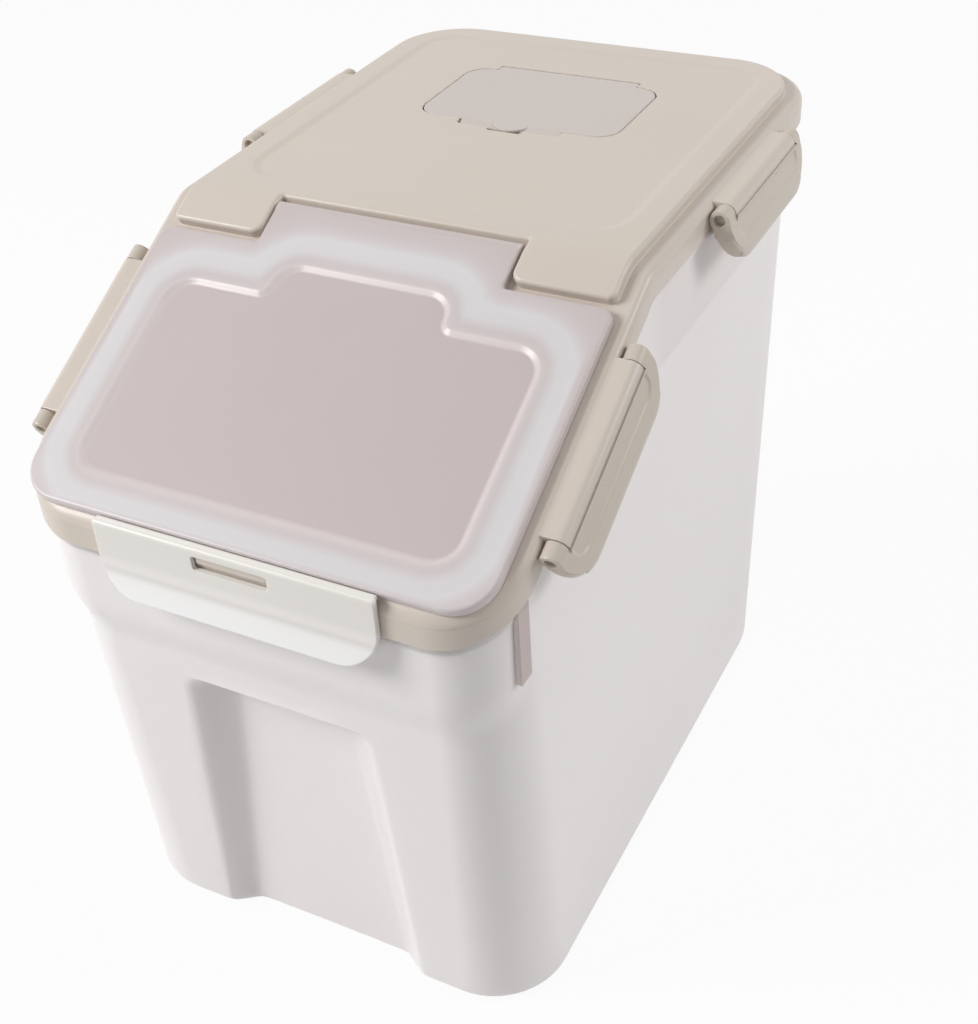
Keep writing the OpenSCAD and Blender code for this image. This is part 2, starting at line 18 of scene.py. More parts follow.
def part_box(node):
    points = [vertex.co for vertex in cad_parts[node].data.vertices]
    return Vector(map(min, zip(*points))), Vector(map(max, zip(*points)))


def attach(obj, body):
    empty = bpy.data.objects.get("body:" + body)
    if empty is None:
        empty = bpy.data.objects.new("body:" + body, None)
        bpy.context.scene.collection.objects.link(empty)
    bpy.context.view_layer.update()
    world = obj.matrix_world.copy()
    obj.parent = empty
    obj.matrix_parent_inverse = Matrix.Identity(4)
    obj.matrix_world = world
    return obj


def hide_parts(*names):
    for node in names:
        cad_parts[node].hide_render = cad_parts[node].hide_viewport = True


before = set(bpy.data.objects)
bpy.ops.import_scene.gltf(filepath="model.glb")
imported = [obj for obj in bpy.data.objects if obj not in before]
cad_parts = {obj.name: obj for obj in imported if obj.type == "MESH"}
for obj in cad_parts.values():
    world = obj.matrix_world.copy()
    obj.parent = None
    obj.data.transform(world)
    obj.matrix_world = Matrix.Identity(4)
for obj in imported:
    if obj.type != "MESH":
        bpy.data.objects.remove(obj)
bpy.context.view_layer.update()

# %% [markdown]
# ## Sizes
# The sizes are in millimetres, as a toolmaker would write them, and turn to metres only where a point
# is placed. They repeat the measured parts' driving sizes, so each piece lands where its part is.

# %% Sizes of the bin in millimetres
MM = 0.001
LID_W, LID_L, LID_H = 210, 343, 291
SLOPE_DROP, SLOPE_RUN = 69, 133
LID_REAR_R, LID_FRONT_R = 40, 30
SKIRT_H, SKIRT_T, LID_T = 12, 2, 2.6
PLATEAU_H, PLATEAU_INSET, EAR_RUN = 4.5, 8, 16.5
NOTCH_W, NOTCH_BACK = 110, 3
PANEL_INSET, PANEL_R, PANEL_DEPTH = 13, 16, 0.8
LIP_INSET, LIP_H = 12.5, 15
MOUTH_W, MOUTH_TOP, MOUTH_BOTTOM = 156, 46, 128
NECK_W, NECK_TOP, MOUTH_R = 70, 31, 8

LID_BACK, LID_FRONT = LID_L / 2, -LID_L / 2
BEND_Y = LID_FRONT + SLOPE_RUN
SLOPE = math.atan(SLOPE_DROP / SLOPE_RUN)
FRONT_Z = LID_H - SLOPE_DROP

seal_low, seal_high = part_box("rim_seal")
print("rim seal's width in mm:", round((seal_high.x - seal_low.x) / MM, 1))
print("slope in degrees:", round(math.degrees(SLOPE), 1))

# %% [markdown]
# ## Points on a folded sheet
# The lid is one sheet with a soft fold across it. It is easiest to draw it unfolded, with x across,
# v along and h up from the sheet, and to fold each point at the end. The fold is an arc, so the
# surface turns smoothly from the flat back to the slope.

# %% Fold a flat drawing over the lid
BEND_R = 18
BEND_RUN = BEND_R * math.tan(SLOPE / 2)
BEND_ROWS = [BEND_RUN * (k / 3 - 1) for k in range(7)]


def metres(x, y, z):
    return Vector((x, y, z)) * MM


def on_slope(x, v, h):
    y = BEND_Y + v * math.cos(SLOPE) - h * math.sin(SLOPE)
    z = LID_H + v * math.sin(SLOPE) + h * math.cos(SLOPE)
    return metres(x, y, z)


def turn_at(v):
    """How far the sheet has turned down at a place along it, from 0 on the flat to the full slope."""
    return SLOPE * max(0.0, min(1.0, (BEND_RUN - v) / (2 * BEND_RUN)))


def on_lid(x, v, h):
    turn = turn_at(v)
    if turn == 0:
        return metres(x, BEND_Y + v, LID_H + h)
    if turn == SLOPE:
        return on_slope(x, v, h)
    y = BEND_Y + BEND_RUN - (BEND_R + h) * math.sin(turn)
    z = LID_H - BEND_R + (BEND_R + h) * math.cos(turn)
    return metres(x, y, z)


def plumb(x, v, h):
    """Like on_lid, but the height runs straight up and down, as the skirt and the rim do."""
    return on_lid(x, v, 0) + metres(0, 0, h / math.cos(turn_at(v)))


def unfold(y):
    run = y - BEND_Y
    return run if run > 0 else run / math.cos(SLOPE)


def surface_z(y):
    return on_lid(0, unfold(y), 0).z / MM


print("front edge of the lid:", [round(c, 4) for c in on_lid(0, unfold(LID_FRONT), 0)])

# %% [markdown]
# ## Outlines with round corners
# Every outline on the bin is made of straight edges with round corners, and every soft edge is that same
# outline drawn in by small steps while the height changes. A corner is a place and a radius. When
# the outline is drawn in, an outer corner's radius shrinks and an inner corner's grows.

# %% Draw an outline at any inset
MIN_R = 0.05


def toward(a, b):
    return (Vector(b[:2]) - Vector(a[:2])).normalized()


def corner_steps(radius):
    return max(5, min(16, round(radius * 0.8)))


def edge_marks(start, end, rows):
    span = end[1] - start[1]
    if abs(span) < 1:
        return []
    return sorted(t for t in ((row - start[1]) / span for row in rows) if 0.02 < t < 0.98)


def outline(corners, inset=0.0, rows=(), steps=None):
    """Points of an anticlockwise outline of (x, v, radius) corners, drawn in by an inset."""
    arcs, bases = [], []
    for k, (x, v, radius) in enumerate(corners):
        came = toward(corners[k - 1], corners[k])
        goes = toward(corners[k], corners[(k + 1) % len(corners)])
        outer = came.x * goes.y - came.y * goes.x > 0
        inward = Vector((-came.y - goes.y, came.x + goes.x))
        r = max(radius - inset if outer else radius + inset, MIN_R)
        tip = Vector((x, v)) + inset * inward
        centre = tip - r * came + r * goes
        count = steps or corner_steps(radius)
        angles = [math.pi / 2 * i / count for i in range(count + 1)]
        arcs.append([centre + r * (came * math.sin(a) - goes * math.cos(a)) for a in angles])
        bases.append((Vector((x, v)) - radius * came, Vector((x, v)) + radius * goes))
    points = []
    for k, arc in enumerate(arcs):
        points += [tuple(p) for p in arc]
        following = arcs[(k + 1) % len(arcs)][0]
        for t in edge_marks(bases[k][1], bases[(k + 1) % len(arcs)][0], rows):
            points.append(tuple(arc[-1].lerp(following, t)))
    return points


def plan(width, low_v, high_v, low_r, high_r):
    half = width / 2
    return [(half, low_v, low_r), (half, high_v, high_r), (-half, high_v, high_r), (-half, low_v, low_r)]


def both_sides(right):
    """A whole outline from its right half, listed from the front middle round to the back middle."""
    return right + [(-x, v, r) for x, v, r in reversed(right)]


lid_plan = plan(LID_W, LID_FRONT, LID_BACK, LID_FRONT_R, LID_REAR_R)
print("points round the lid:", len(outline(lid_plan)))

# %% [markdown]
# ## Skins
# A moulded shell is a stack of such outlines with faces between neighbours. Each ring of points keeps
# both its points' numbers in the mesh and their places on the flat drawing, because the flat fills that
# close the shell are worked out on the drawing.

# %% Collect rings and faces into one skin
class Skin:
    """Rings of points on a sheet, and the faces between them."""

    def __init__(self, place):
        self.place = place
        self.points = []
        self.faces = []

    def row(self, placed, flat=None):
        """Adds placed points, and returns their numbers with their flat places."""
        first = len(self.points)
        self.points += placed
        return [(first + k, p) for k, p in enumerate(flat or placed)]

    def ring(self, flat, height, place=None):
        return self.row([(place or self.place)(x, v, height) for x, v in flat], flat)

    def cap(self, ring):
        self.faces.append([k for k, _ in ring])

    def loft(self, rings):
        for lower, upper in zip(rings, rings[1:]):
            for k in range(len(lower)):
                after = (k + 1) % len(lower)
                self.faces.append((lower[k][0], lower[after][0], upper[after][0], upper[k][0]))

    def stack(self, drawn, steps, rows=(), place=None):
        """Lofts an outline through (inset, height) steps and returns its first and last ring.
        The outline is a list of corners, or a function that draws it at an inset."""
        draw = drawn if callable(drawn) else lambda inset: outline(drawn, inset, rows)
        rings = [self.ring(draw(inset), height, place) for inset, height in steps]
        self.loft(rings)
        return rings[0], rings[-1]


print("points round a 20 mm square:", len(Skin(metres).ring(outline(plan(20, 0, 20, 2, 2)), 0)))

# %% [markdown]
# A constrained triangulation fills a flat area round its holes. It gets extra points along the fold,
# which keep a filled area smooth where the sheet bends. Triangles without a height, which lie along a
# straight edge, are left out, because they would make a seam there.

# %% Tell what lies inside a filled area
FILL_STEP = 5
FILL_ROOM = 0.8


def inside(point, loop):
    found = False
    x, v = point
    for k, (ax, av) in enumerate(loop):
        bx, bv = loop[k - 1]
        if (av > v) != (bv > v) and x < (bx - ax) * (v - av) / (bv - av) + ax:
            found = not found
    return found


def within(point, loops):
    """Whether a point lies inside the first loop and outside the holes that follow it."""
    return inside(point, loops[0]) and not any(inside(point, hole) for hole in loops[1:])


def clear_of(point, loops):
    return all(math.dist(point, p) > FILL_ROOM for loop in loops for p in loop)


def points_within(loops, rows):
    """Points on each row, a step apart, that lie in the area and clear of its edges."""
    count = int(max(abs(x) for x, _ in loops[0]) / FILL_STEP)
    spots = [(FILL_STEP * k, v) for v in rows for k in range(-count, count + 1)]
    return [spot for spot in spots if within(spot, loops) and clear_of(spot, loops)]


print("points on a row across the lid:", len(points_within([outline(lid_plan)], [0])))

# %% Fill a flat area round its holes
NO_HEIGHT = 5e-5
CROSSING = 1e-5


def has_height(a, b, c):
    longest = max((b - a).length, (c - b).length, (a - c).length)
    return abs((b - a).cross(c - a)) >= NO_HEIGHT * longest


def fill(skin, outer, holes=(), height=0.0, rows=()):
    rings = (outer, *holes)
    loops = [[p for _, p in ring] for ring in rings]
    extra = points_within(loops, rows)
    flat = [p for loop in loops for p in loop] + extra
    index = [i for ring in (*rings, skin.ring(extra, height)) for i, _ in ring]
    edges, start = [], 0
    for loop in loops:
        edges += [(start + k, start + (k + 1) % len(loop)) for k in range(len(loop))]
        start += len(loop)
    places = [Vector(p) for p in flat]
    found, _, triangles, origins, _, _ = delaunay_2d_cdt(places, edges, [], 0, CROSSING)
    for triangle in triangles:
        a, b, c = (found[k] for k in triangle)
        if has_height(a, b, c) and within((a + b + c) / 3, loops):
            skin.faces.append([index[origins[k][0]] for k in triangle])


# %% Steps of a rounded edge
def soft_edge(radius, top, count=5):
    """Steps of a rounded upper edge, from the wall up to the level at the top."""
    turns = [math.pi / 2 * k / count for k in range(count + 1)]
    return [(radius * (1 - math.cos(a)), top - radius * (1 - math.sin(a))) for a in turns]


def soft_foot(radius, level, count=4):
    """Steps of a hollow lower edge, from the level below up to the wall."""
    turns = [math.pi / 2 * k / count for k in range(count + 1)]
    return [(-radius * (1 - math.sin(a)), level + radius * (1 - math.cos(a))) for a in turns]


def ease(t):
    t = max(0.0, min(1.0, t))
    return t * t * (3 - 2 * t)


print("a 2 mm edge:", [(round(i, 2), round(h, 2)) for i, h in soft_edge(2, 0, 3)])

# %% [markdown]
# ## Finished pieces
# A piece becomes one mesh. Doubles are merged and the normals recalculated while the shell is closed,
# because that is when inside and outside are certain. Weighted normals then keep the large
# faces flat in the light and put all the shading change into the rounded edges, as on a real moulding.

# %% Turn points and faces into a piece
SHARP_ANGLE = math.radians(38)


def finish_mesh(mesh, merge=0.004 * MM):
    work = bmesh.new()
    work.from_mesh(mesh)
    bmesh.ops.remove_doubles(work, verts=work.verts, dist=merge)
    bmesh.ops.dissolve_degenerate(work, edges=work.edges, dist=merge)
    bmesh.ops.recalc_face_normals(work, faces=work.faces)
    for face in work.faces:
        face.smooth = True
    open_edges = sum(1 for edge in work.edges if not edge.is_manifold)
    work.to_mesh(mesh)
    work.free()
    mesh.set_sharp_from_angle(angle=SHARP_ANGLE)
    return open_edges


def piece(name, mesh, body, nodes=()):
    open_edges = finish_mesh(mesh)
    made = bpy.data.objects.new(name, mesh)
    bpy.context.scene.collection.objects.link(made)
    weighted = made.modifiers.new("even light", "WEIGHTED_NORMAL")
    weighted.keep_sharp = True
    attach(made, body)
    if nodes:
        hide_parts(*nodes)
    print(name, "faces:", len(mesh.polygons), "open edges:", open_edges)
    return made


def keep(mesh, name, measure):
    """Keeps a value at every point of a mesh, worked out from its place in millimetres."""
    kept = mesh.attributes.new(name, "FLOAT", "POINT")
    for vertex, item in zip(mesh.vertices, kept.data):
        item.value = measure(*(vertex.co / MM))


def shell(name, skins, material, body, nodes=(), measures=None):
    """Joins several skins into one piece, and keeps the measures that its finish follows."""
    points, faces = [], []
    for skin in skins:
        base = len(points)
        points += skin.points
        faces += [[base + k for k in face] for face in skin.faces]
    mesh = bpy.data.meshes.new(name)
    mesh.from_pydata([tuple(p) for p in points], [], faces)
    mesh.materials.append(material)
    made = piece(name, mesh, body, nodes)
    for title, measure in (measures or {}).items():
        keep(made.data, title, measure)
    return made


# %% [markdown]
# ## Finishes
# All of the bin is polypropylene or a soft silicone, moulded in polished and lightly grained tools.
# Polypropylene reflects like other plastics, with an index near 1.49, and its satin tool grain spreads
# the highlight. The natural, uncoloured grade is milky: light goes in, scatters and comes out
# elsewhere, so thin walls glow softly. Each finish gets a slow drift of colour from the melt's flow, a
# fine grain in its roughness and a very low waviness, as a large thin moulding has.

# %% Colour and node helpers
def srgb(code):
    values = [int(code[k:k + 2], 16) / 255 for k in (1, 3, 5)]
    return (*[v / 12.92 if v <= 0.04045 else ((v + 0.055) / 1.055) ** 2.4 for v in values], 1.0)


def per_mm(size):
    """Noise scale that makes features of a size in millimetres on Object coordinates in metres."""
    return 1 / (size * MM)


def add(tree, kind, settings=None, values=None, links=None):
    """Adds one node, sets it up and links sockets given as (source node, output name)."""
    node = tree.nodes.new(kind)
    for name, value in (settings or {}).items():
        setattr(node, name, value)
    for name, value in (values or {}).items():
        node.inputs[name].default_value = value
    for name, (source, output) in (links or {}).items():
        tree.links.new(source.outputs[output], node.inputs[name])
    return node


# %% Tint that follows a measure on the mesh
def tinted(tree, colour, measure, stops):
    """Multiplies a colour by one that follows a measure kept on the mesh, in steps."""
    low, high = stops[0][0], stops[-1][0]
    kept = add(tree, "ShaderNodeAttribute", {"attribute_name": measure})
    share = add(tree, "ShaderNodeMapRange", values={"From Min": low, "From Max": high},
        links={"Value": (kept, "Fac")})
    ramp = add(tree, "ShaderNodeValToRGB", links={"Fac": (share, "Result")})
    elements = ramp.color_ramp.elements
    elements[0].color, elements[1].color = srgb(stops[0][1]), srgb(stops[-1][1])
    for value, code in stops[1:-1]:
        elements.new((value - low) / (high - low)).color = srgb(code)
    return add(tree, "ShaderNodeMix", {"data_type": "RGBA", "blend_type": "MULTIPLY"}, {"Factor": 1.0},
        {"A": (colour, "Result"), "B": (ramp, "Color")})


# %% Moulded plastic
PLASTIC_IOR = 1.49
FLOW_MM = 90
GRAIN_MM, GRAIN_DEPTH, GRAIN_BUMP, GRAIN_SPREAD = 0.9, 0.05, 0.05, 0.04
WAVE_MM, WAVE_DEPTH = 45, 1.2


def moulded(name, light, deep, roughness, wave=0.12, tint=None, **surface):
    """A moulded plastic between two close colours, with its tool grain and slight waviness."""
    material = bpy.data.materials.new(name)
    material.use_nodes = True
    tree = material.node_tree
    tree.nodes.clear()
    place = add(tree, "ShaderNodeTexCoord")
    flow, fine, slow = [
        add(tree, "ShaderNodeTexNoise", values={"Scale": per_mm(size), "Detail": detail},
            links={"Vector": (place, "Object")})
        for size, detail in ((FLOW_MM, 2.0), (GRAIN_MM, 1.0), (WAVE_MM, 0.0))]
    colour = add(tree, "ShaderNodeMix", {"data_type": "RGBA"}, {"A": srgb(light), "B": srgb(deep)},
        {"Factor": (flow, "Fac")})
    if tint:
        colour = tinted(tree, colour, *tint)
    rough = add(tree, "ShaderNodeMapRange",
        values={"To Min": roughness - GRAIN_SPREAD, "To Max": roughness + GRAIN_SPREAD},
        links={"Value": (fine, "Fac")})
    grained = add(tree, "ShaderNodeBump", values={"Strength": GRAIN_BUMP, "Distance": GRAIN_DEPTH * MM},
        links={"Height": (fine, "Fac")})
    waved = add(tree, "ShaderNodeBump", values={"Strength": wave, "Distance": WAVE_DEPTH * MM},
        links={"Height": (slow, "Fac"), "Normal": (grained, "Normal")})
    shader = add(tree, "ShaderNodeBsdfPrincipled", values={"IOR": PLASTIC_IOR, **surface},
        links={"Base Color": (colour, "Result"), "Roughness": (rough, "Result"), "Normal": (waved, "Normal")})
    add(tree, "ShaderNodeOutputMaterial", links={"Surface": (shader, "BSDF")})
    return material


# %% [markdown]
# The lid's and the clips' polypropylene is filled and coloured beige, so it is opaque with a satin
# glow. The clips get a slightly darker copy of it, which is painted shade. The small door over the
# drying agent is a second colour batch, a little pinker than the lid. The rods are turned from acetal,
# which is a little duller.

# %% Finishes of the coloured pieces
lid_plastic = moulded("satin_beige_polypropylene", "#D6CBC0", "#D0C5B9", 0.34)
# Painted shade: the clips' plastic is a slightly darker copy of the lid's.
shaded_clip_plastic = moulded("satin_beige_clip_polypropylene_painted_shade", "#CDC3B6", "#C8BDB0", 0.36)
hatch_plastic = moulded("satin_pinkish_polypropylene", "#D0C6C0", "#CBC1BB", 0.38)
pin_plastic = moulded("turned_acetal_rod", "#C9BFB2", "#C2B8AB", 0.45)
print("coloured finishes:", [m.name for m in (lid_plastic, shaded_clip_plastic, hatch_plastic, pin_plastic)])

# %% [markdown]
# The tub and the tray are the natural grade. Light goes into the tub's thick wall and comes out close
# by, a little warmer, which subsurface scattering gives. Its guide strips and a band near its rim get
# painted shade: a tint follows the measure "shade", from 0 on the plain wall to 1 on a strip. The
# seals are soft silicone, which scatters light in the same way and has hardly any gloss.

# %% Finishes of the milky pieces
MILK_DEPTH = (1.0, 0.92, 0.88)
# Painted shade: the tint runs from white on the plain wall to a pinkish grey on the guide strips.
PAINTED_SHADE_STOPS = [(0, "#FFFFFF"), (1, "#C4B9B7")]


def milky(weight, depth):
    return {"Subsurface Weight": weight, "Subsurface Radius": MILK_DEPTH, "Subsurface Scale": depth * MM}


tub_plastic = moulded("milky_moulded_polypropylene", "#FDF5F3", "#F9F0EE", 0.34,
    tint=("shade", PAINTED_SHADE_STOPS), **milky(0.5, 5))
seal_rubber = moulded("moulded_silicone_seal", "#F0F0EE", "#EBEBE9", 0.50, wave=0.04, **milky(0.3, 2))
tray_plastic = moulded("natural_polypropylene_tray", "#ECEBE8", "#E6E5E2", 0.36,
    **{"Transmission Weight": 0.2})
print("milky finishes:", tub_plastic.name, seal_rubber.name, tray_plastic.name)

# %% [markdown]
# The door is a thin clear sheet. Where it lies over the seal it looks milky, its pressed edge catches
# the light, and its middle shows the dim bin behind it. A tint paints these zones in: the milky band,
# a painted highlight along the pressed edge and painted shade in the middle. It follows "off panel",
# the distance in millimetres from the edge of the pressed-in middle, which is negative inside it. The
# flap is frosted, and its tint follows "down", the millimetres below its fold. It paints shade along
# the crease where the lip flares out, and the beige skirt showing through the flap's upper part.

# %% Finishes of the door and the flap
# Painted light on the door: shade of the dim bin in the middle, a highlight along the pressed edge, and the
# milky band over the seal.
DOOR_PAINTED_LIGHT_STOPS = [(-9, "#DDD1CF"), (-2, "#DED2D0"), (-0.6, "#EEE3E2"), (0.6, "#F0E6E5"), (2.5, "#E7DDDD"),
    (4, "#E6DDDD"), (8, "#F1EEEF"), (14, "#F2F0F1"), (17, "#EAE3E4"), (21, "#E4DADA"), (30, "#E0D5D3")]
# Painted shade along the crease where the flap's lip flares; its upper part takes the beige of the skirt
# behind it.
FLAP_SEE_THROUGH_AND_SHADE_STOPS = [(0, "#F1EEE8"), (13, "#F2EFEA"), (16, "#F8F5F2"), (18, "#F8F5F2"), (20, "#EEEAE6"),
    (22.5, "#FDFCFB"), (30, "#FFFFFF")]
door_plastic = moulded("see_through_polypropylene_sheet", "#FFFFFF", "#FAF8F8", 0.30, wave=0.05,
    tint=("off panel", DOOR_PAINTED_LIGHT_STOPS), **{"Transmission Weight": 0.22})
flap_plastic = moulded("frosted_polypropylene_flap", "#FFFFFF", "#FBFAF9", 0.34, wave=0.06,
    tint=("down", FLAP_SEE_THROUGH_AND_SHADE_STOPS), **{"Transmission Weight": 0.06})
print("sheet finishes:", door_plastic.name, flap_plastic.name)

# %% [markdown]
# ## The lid
# The lid's sheet carries a raised top with two ears that reach down beside the door's hinge. Its
# outer edge rolls over in a large soft radius and ends in a short skirt. The raised top has
# a shallow sunk panel, and an opening for the small door over the drying agent.

# %% Outlines on the lid
def flat_v(y):
    return y - BEND_Y


def flange(inset):
    """The lid's outer edge, drawn in plan view and unfolded."""
    rows = [BEND_Y + (row if row > 0 else row * math.cos(SLOPE)) for row in BEND_ROWS]
    return [(x, unfold(y)) for x, y in outline(lid_plan, inset, rows)]


NOTCH_R, EAR_INNER_R, EAR_OUTER_R = 1.2, 5, 3
ear_half = LID_W / 2 - PLATEAU_INSET
notch_half = NOTCH_W / 2
plateau_back = flat_v(LID_BACK - PLATEAU_INSET)
plateau_corners = both_sides([
    (notch_half, NOTCH_BACK, NOTCH_R),
    (notch_half, -EAR_RUN, EAR_INNER_R),
    (ear_half, -EAR_RUN, EAR_OUTER_R),
    (ear_half, plateau_back, LID_REAR_R - PLATEAU_INSET),
])
panel_corners = plan(LID_W - 2 * (PLATEAU_INSET + PANEL_INSET), NOTCH_BACK + PANEL_INSET,
    plateau_back - PANEL_INSET, PANEL_R, PANEL_R)
NECK_R = (MOUTH_TOP - NECK_TOP) / 2 - 0.1
mouth_corners = both_sides([
    (MOUTH_W / 2, -MOUTH_BOTTOM, MOUTH_R),
    (MOUTH_W / 2, -MOUTH_TOP, MOUTH_R),
    (NECK_W / 2, -MOUTH_TOP, NECK_R),
    (NECK_W / 2, -NECK_TOP, NECK_R),
])
print("half of the raised top's width:", ear_half, "of the notch:", notch_half)

# %% Outline of the opening for the small door
DRY_W, DRY_L, DRY_R, DRY_BACK = 94, 57, 10, LID_BACK - 54.5
DRY_FRONT = DRY_BACK - DRY_L
DRY_TAB_W, DRY_TAB_L = 69, 5
FINGER_W, FINGER_L, FINGER_R = 48, 5, 2.5
HATCH_INNER_R, TAB_INNER_R, TAB_R = 1, 0.6, 1
DRY_GAP = 0.45
hatch_front, hatch_back = flat_v(DRY_FRONT), flat_v(DRY_BACK)


def hatch_corners(gap, back):
    """Outline of the small door and its tabs, grown by a gap and by one for the hinge."""
    return both_sides([
        (FINGER_W / 2 + gap, hatch_front - FINGER_L - gap, FINGER_R),
        (FINGER_W / 2 + gap, hatch_front - gap, HATCH_INNER_R),
        (DRY_W / 2 + gap, hatch_front - gap, DRY_R),
        (DRY_W / 2 + gap, hatch_back + gap, DRY_R),
        (DRY_TAB_W / 2 + gap, hatch_back + gap, TAB_INNER_R),
        (DRY_TAB_W / 2 + gap, hatch_back + DRY_TAB_L + back, TAB_R),
    ])


print("small door:", DRY_W, "by", DRY_L, "mm")

# %% [markdown]
# In front of the small door the opening has a bay for a thumb. Under the opening lies a well, whose
# ledge carries the tray's rim round the tray's hole.

# %% Thumb bay, tray hole and well
THUMB_W, THUMB_BAY, THUMB_R, BAY_INNER_R = 17, 2.6, 1.6, 0.9
LEDGE_W, LEDGE_H, LEDGE_T = 3, 0, 2
WELL_SIDE, WELL_FRONT, WELL_BACK = 2.5, 5, 3
thumb_front = hatch_front - FINGER_L - DRY_GAP
hatch_opening = both_sides([
    (THUMB_W / 2, thumb_front - THUMB_BAY, THUMB_R),
    (THUMB_W / 2, thumb_front, BAY_INNER_R),
    *hatch_corners(DRY_GAP, DRY_GAP)[:6],
])
tray_hole = plan(DRY_W - 2 * LEDGE_W, hatch_front + LEDGE_W, hatch_back - LEDGE_W,
    DRY_R - LEDGE_W, DRY_R - LEDGE_W)
well_corners = plan(DRY_W + 2 * WELL_SIDE, hatch_front - FINGER_L - WELL_FRONT,
    hatch_back + DRY_TAB_L + WELL_BACK, DRY_R, DRY_R)
print("opening for the small door:", len(hatch_opening), "corners")

# %% [markdown]
# The hinge barrel of the big door lies in a trough at the slope's top edge. The trough is part of a
# round channel, closed at both ends, and its rim is part of the sheet.

# %% Trough for the big door's hinge
HINGE_V, HINGE_H = -2.2, 0.2
BARREL_R, BARREL_GAP, BARREL_END = 4, 0.4, 0.8
TROUGH_R, TROUGH_T, TROUGH_END = BARREL_R + BARREL_GAP, 1.6, 1.2
TROUGH_HALF = NOTCH_W / 2 - BARREL_END
HALVINGS = 40
hinge = on_slope(0, HINGE_V, HINGE_H) / MM


def round_hinge(angle, radius):
    return hinge.y + radius * math.cos(angle), hinge.z + radius * math.sin(angle)


def meets_sheet(low, high, radius, level):
    """The angle between two angles at which a circle round the hinge crosses the sheet at a level."""
    for _ in range(HALVINGS):
        middle = (low + high) / 2
        y, z = round_hinge(middle, radius)
        sheet_z = surface_z(y) + level / math.cos(turn_at(unfold(y)))
        low, high = (middle, high) if z < sheet_z else (low, middle)
    return low


def trough(skin, radius, half, level, count=14):
    """A channel round the hinge below the sheet, which returns its rim as a ring."""
    back = meets_sheet(-math.pi / 2, math.pi / 2, radius, level)
    front = meets_sheet(-math.pi / 2, -3 * math.pi / 2, radius, level)
    profile = [round_hinge(front + (back - front) * k / count, radius) for k in range(count + 1)]
    right, left = [
        skin.row([metres(x, y, z) for y, z in profile], [(x, unfold(y)) for y, _ in profile])
        for x in (half, -half)]
    for k in range(count):
        skin.faces.append((right[k][0], right[k + 1][0], left[k + 1][0], left[k][0]))
    skin.cap(right)
    skin.cap(left)
    return [right[0], right[-1], left[-1], left[0]]


print("hinge of the door at y and z in mm:", round(hinge.y, 1), round(hinge.z, 1))

# %% Build the lid's shell
EDGE_R = 3.4
TOP_R = 1.8
FOOT_R = 0.4
PANEL_STEP = 4.6
UNDER = -LID_T


def lid_skin():
    skin = Skin(on_lid)
    skirt = [(SKIRT_T, UNDER), (SKIRT_T, -SKIRT_H + 0.5), (1.6, -SKIRT_H), (0.5, -SKIRT_H),
        (0.12, -SKIRT_H + 0.15), (0, -SKIRT_H + 0.5), (0, -EDGE_R - 0.7), (0.18, -EDGE_R - 0.45)]
    inner, rim = skin.stack(flange, skirt + soft_edge(EDGE_R, 0, 8), place=plumb)
    walls = soft_foot(FOOT_R, 0) + soft_edge(TOP_R, PLATEAU_H, 7)
    foot, brow = skin.stack(plateau_corners, walls, BEND_ROWS)
    mouth_low, mouth_high = skin.stack(mouth_corners, [(0, UNDER), (0, -0.5), (-0.15, -0.15), (-0.5, 0)])
    fill(skin, rim, [foot, mouth_high, trough(skin, TROUGH_R, TROUGH_HALF, 0)], 0, BEND_ROWS)
    slopes = [(PANEL_STEP * (k / 6 - 0.5), PLATEAU_H - PANEL_DEPTH * ease(k / 6)) for k in range(7)]
    step, floor = skin.stack(panel_corners, slopes)
    fill(skin, brow, [step], PLATEAU_H, BEND_ROWS)
    level = PLATEAU_H - PANEL_DEPTH
    ledge, lip = skin.stack(hatch_opening,
        [(0, LEDGE_H), (0, level - 0.35), (-0.1, level - 0.1), (-0.35, level)])
    fill(skin, floor, [lip], level)
    hole_low, hole_high = skin.stack(tray_hole, [(0, LEDGE_H - LEDGE_T), (0, LEDGE_H)])
    fill(skin, ledge, [hole_high], LEDGE_H)
    return skin, inner, mouth_low, hole_low


# %% [markdown]
# The underside shows when the lid is lifted off. It has the same wall all over: a hollow under the
# raised top, a wall round the drying agent's well, and a lip that drops inside the tub's rim.

# %% Build the underside
CEILING = PLATEAU_H - LID_T
HOLLOW_INSET = 2.2


def lid_underside(skin, inner, mouth_low, hole_low):
    hollow_steps = [(HOLLOW_INSET, UNDER), (HOLLOW_INSET, CEILING)]
    hollow_low, hollow_high = skin.stack(plateau_corners, hollow_steps, BEND_ROWS)
    well_low, well_high = skin.stack(well_corners, [(0, LEDGE_H - LEDGE_T), (0, CEILING)])
    fill(skin, well_low, [hole_low], LEDGE_H - LEDGE_T)
    fill(skin, hollow_high, [well_high], CEILING, BEND_ROWS)
    housing = trough(skin, TROUGH_R + TROUGH_T, TROUGH_HALF + TROUGH_END, UNDER)
    fill(skin, inner, [hollow_low, mouth_low, housing], UNDER, BEND_ROWS)


def lid_lip():
    skin = Skin(plumb)
    outer, inner = LIP_INSET, LIP_INSET + SKIRT_T
    root = UNDER + 0.3
    steps = [(outer, root), (outer, -LIP_H + 0.6), (outer + 0.5, -LIP_H), (inner - 0.5, -LIP_H),
        (inner, -LIP_H + 0.6), (inner, root)]
    low_ring, high_ring = skin.stack(flange, steps)
    skin.loft([high_ring, low_ring])
    return skin


print("ceiling of the raised top above the sheet:", round(CEILING, 2), "mm")

# %% [markdown]
# Between a clip's two knuckles the lid reaches out as a round-nosed pad that carries the clip's rod.
# The pad's top runs on from the sheet, so from above it reads as one surface with the lid.

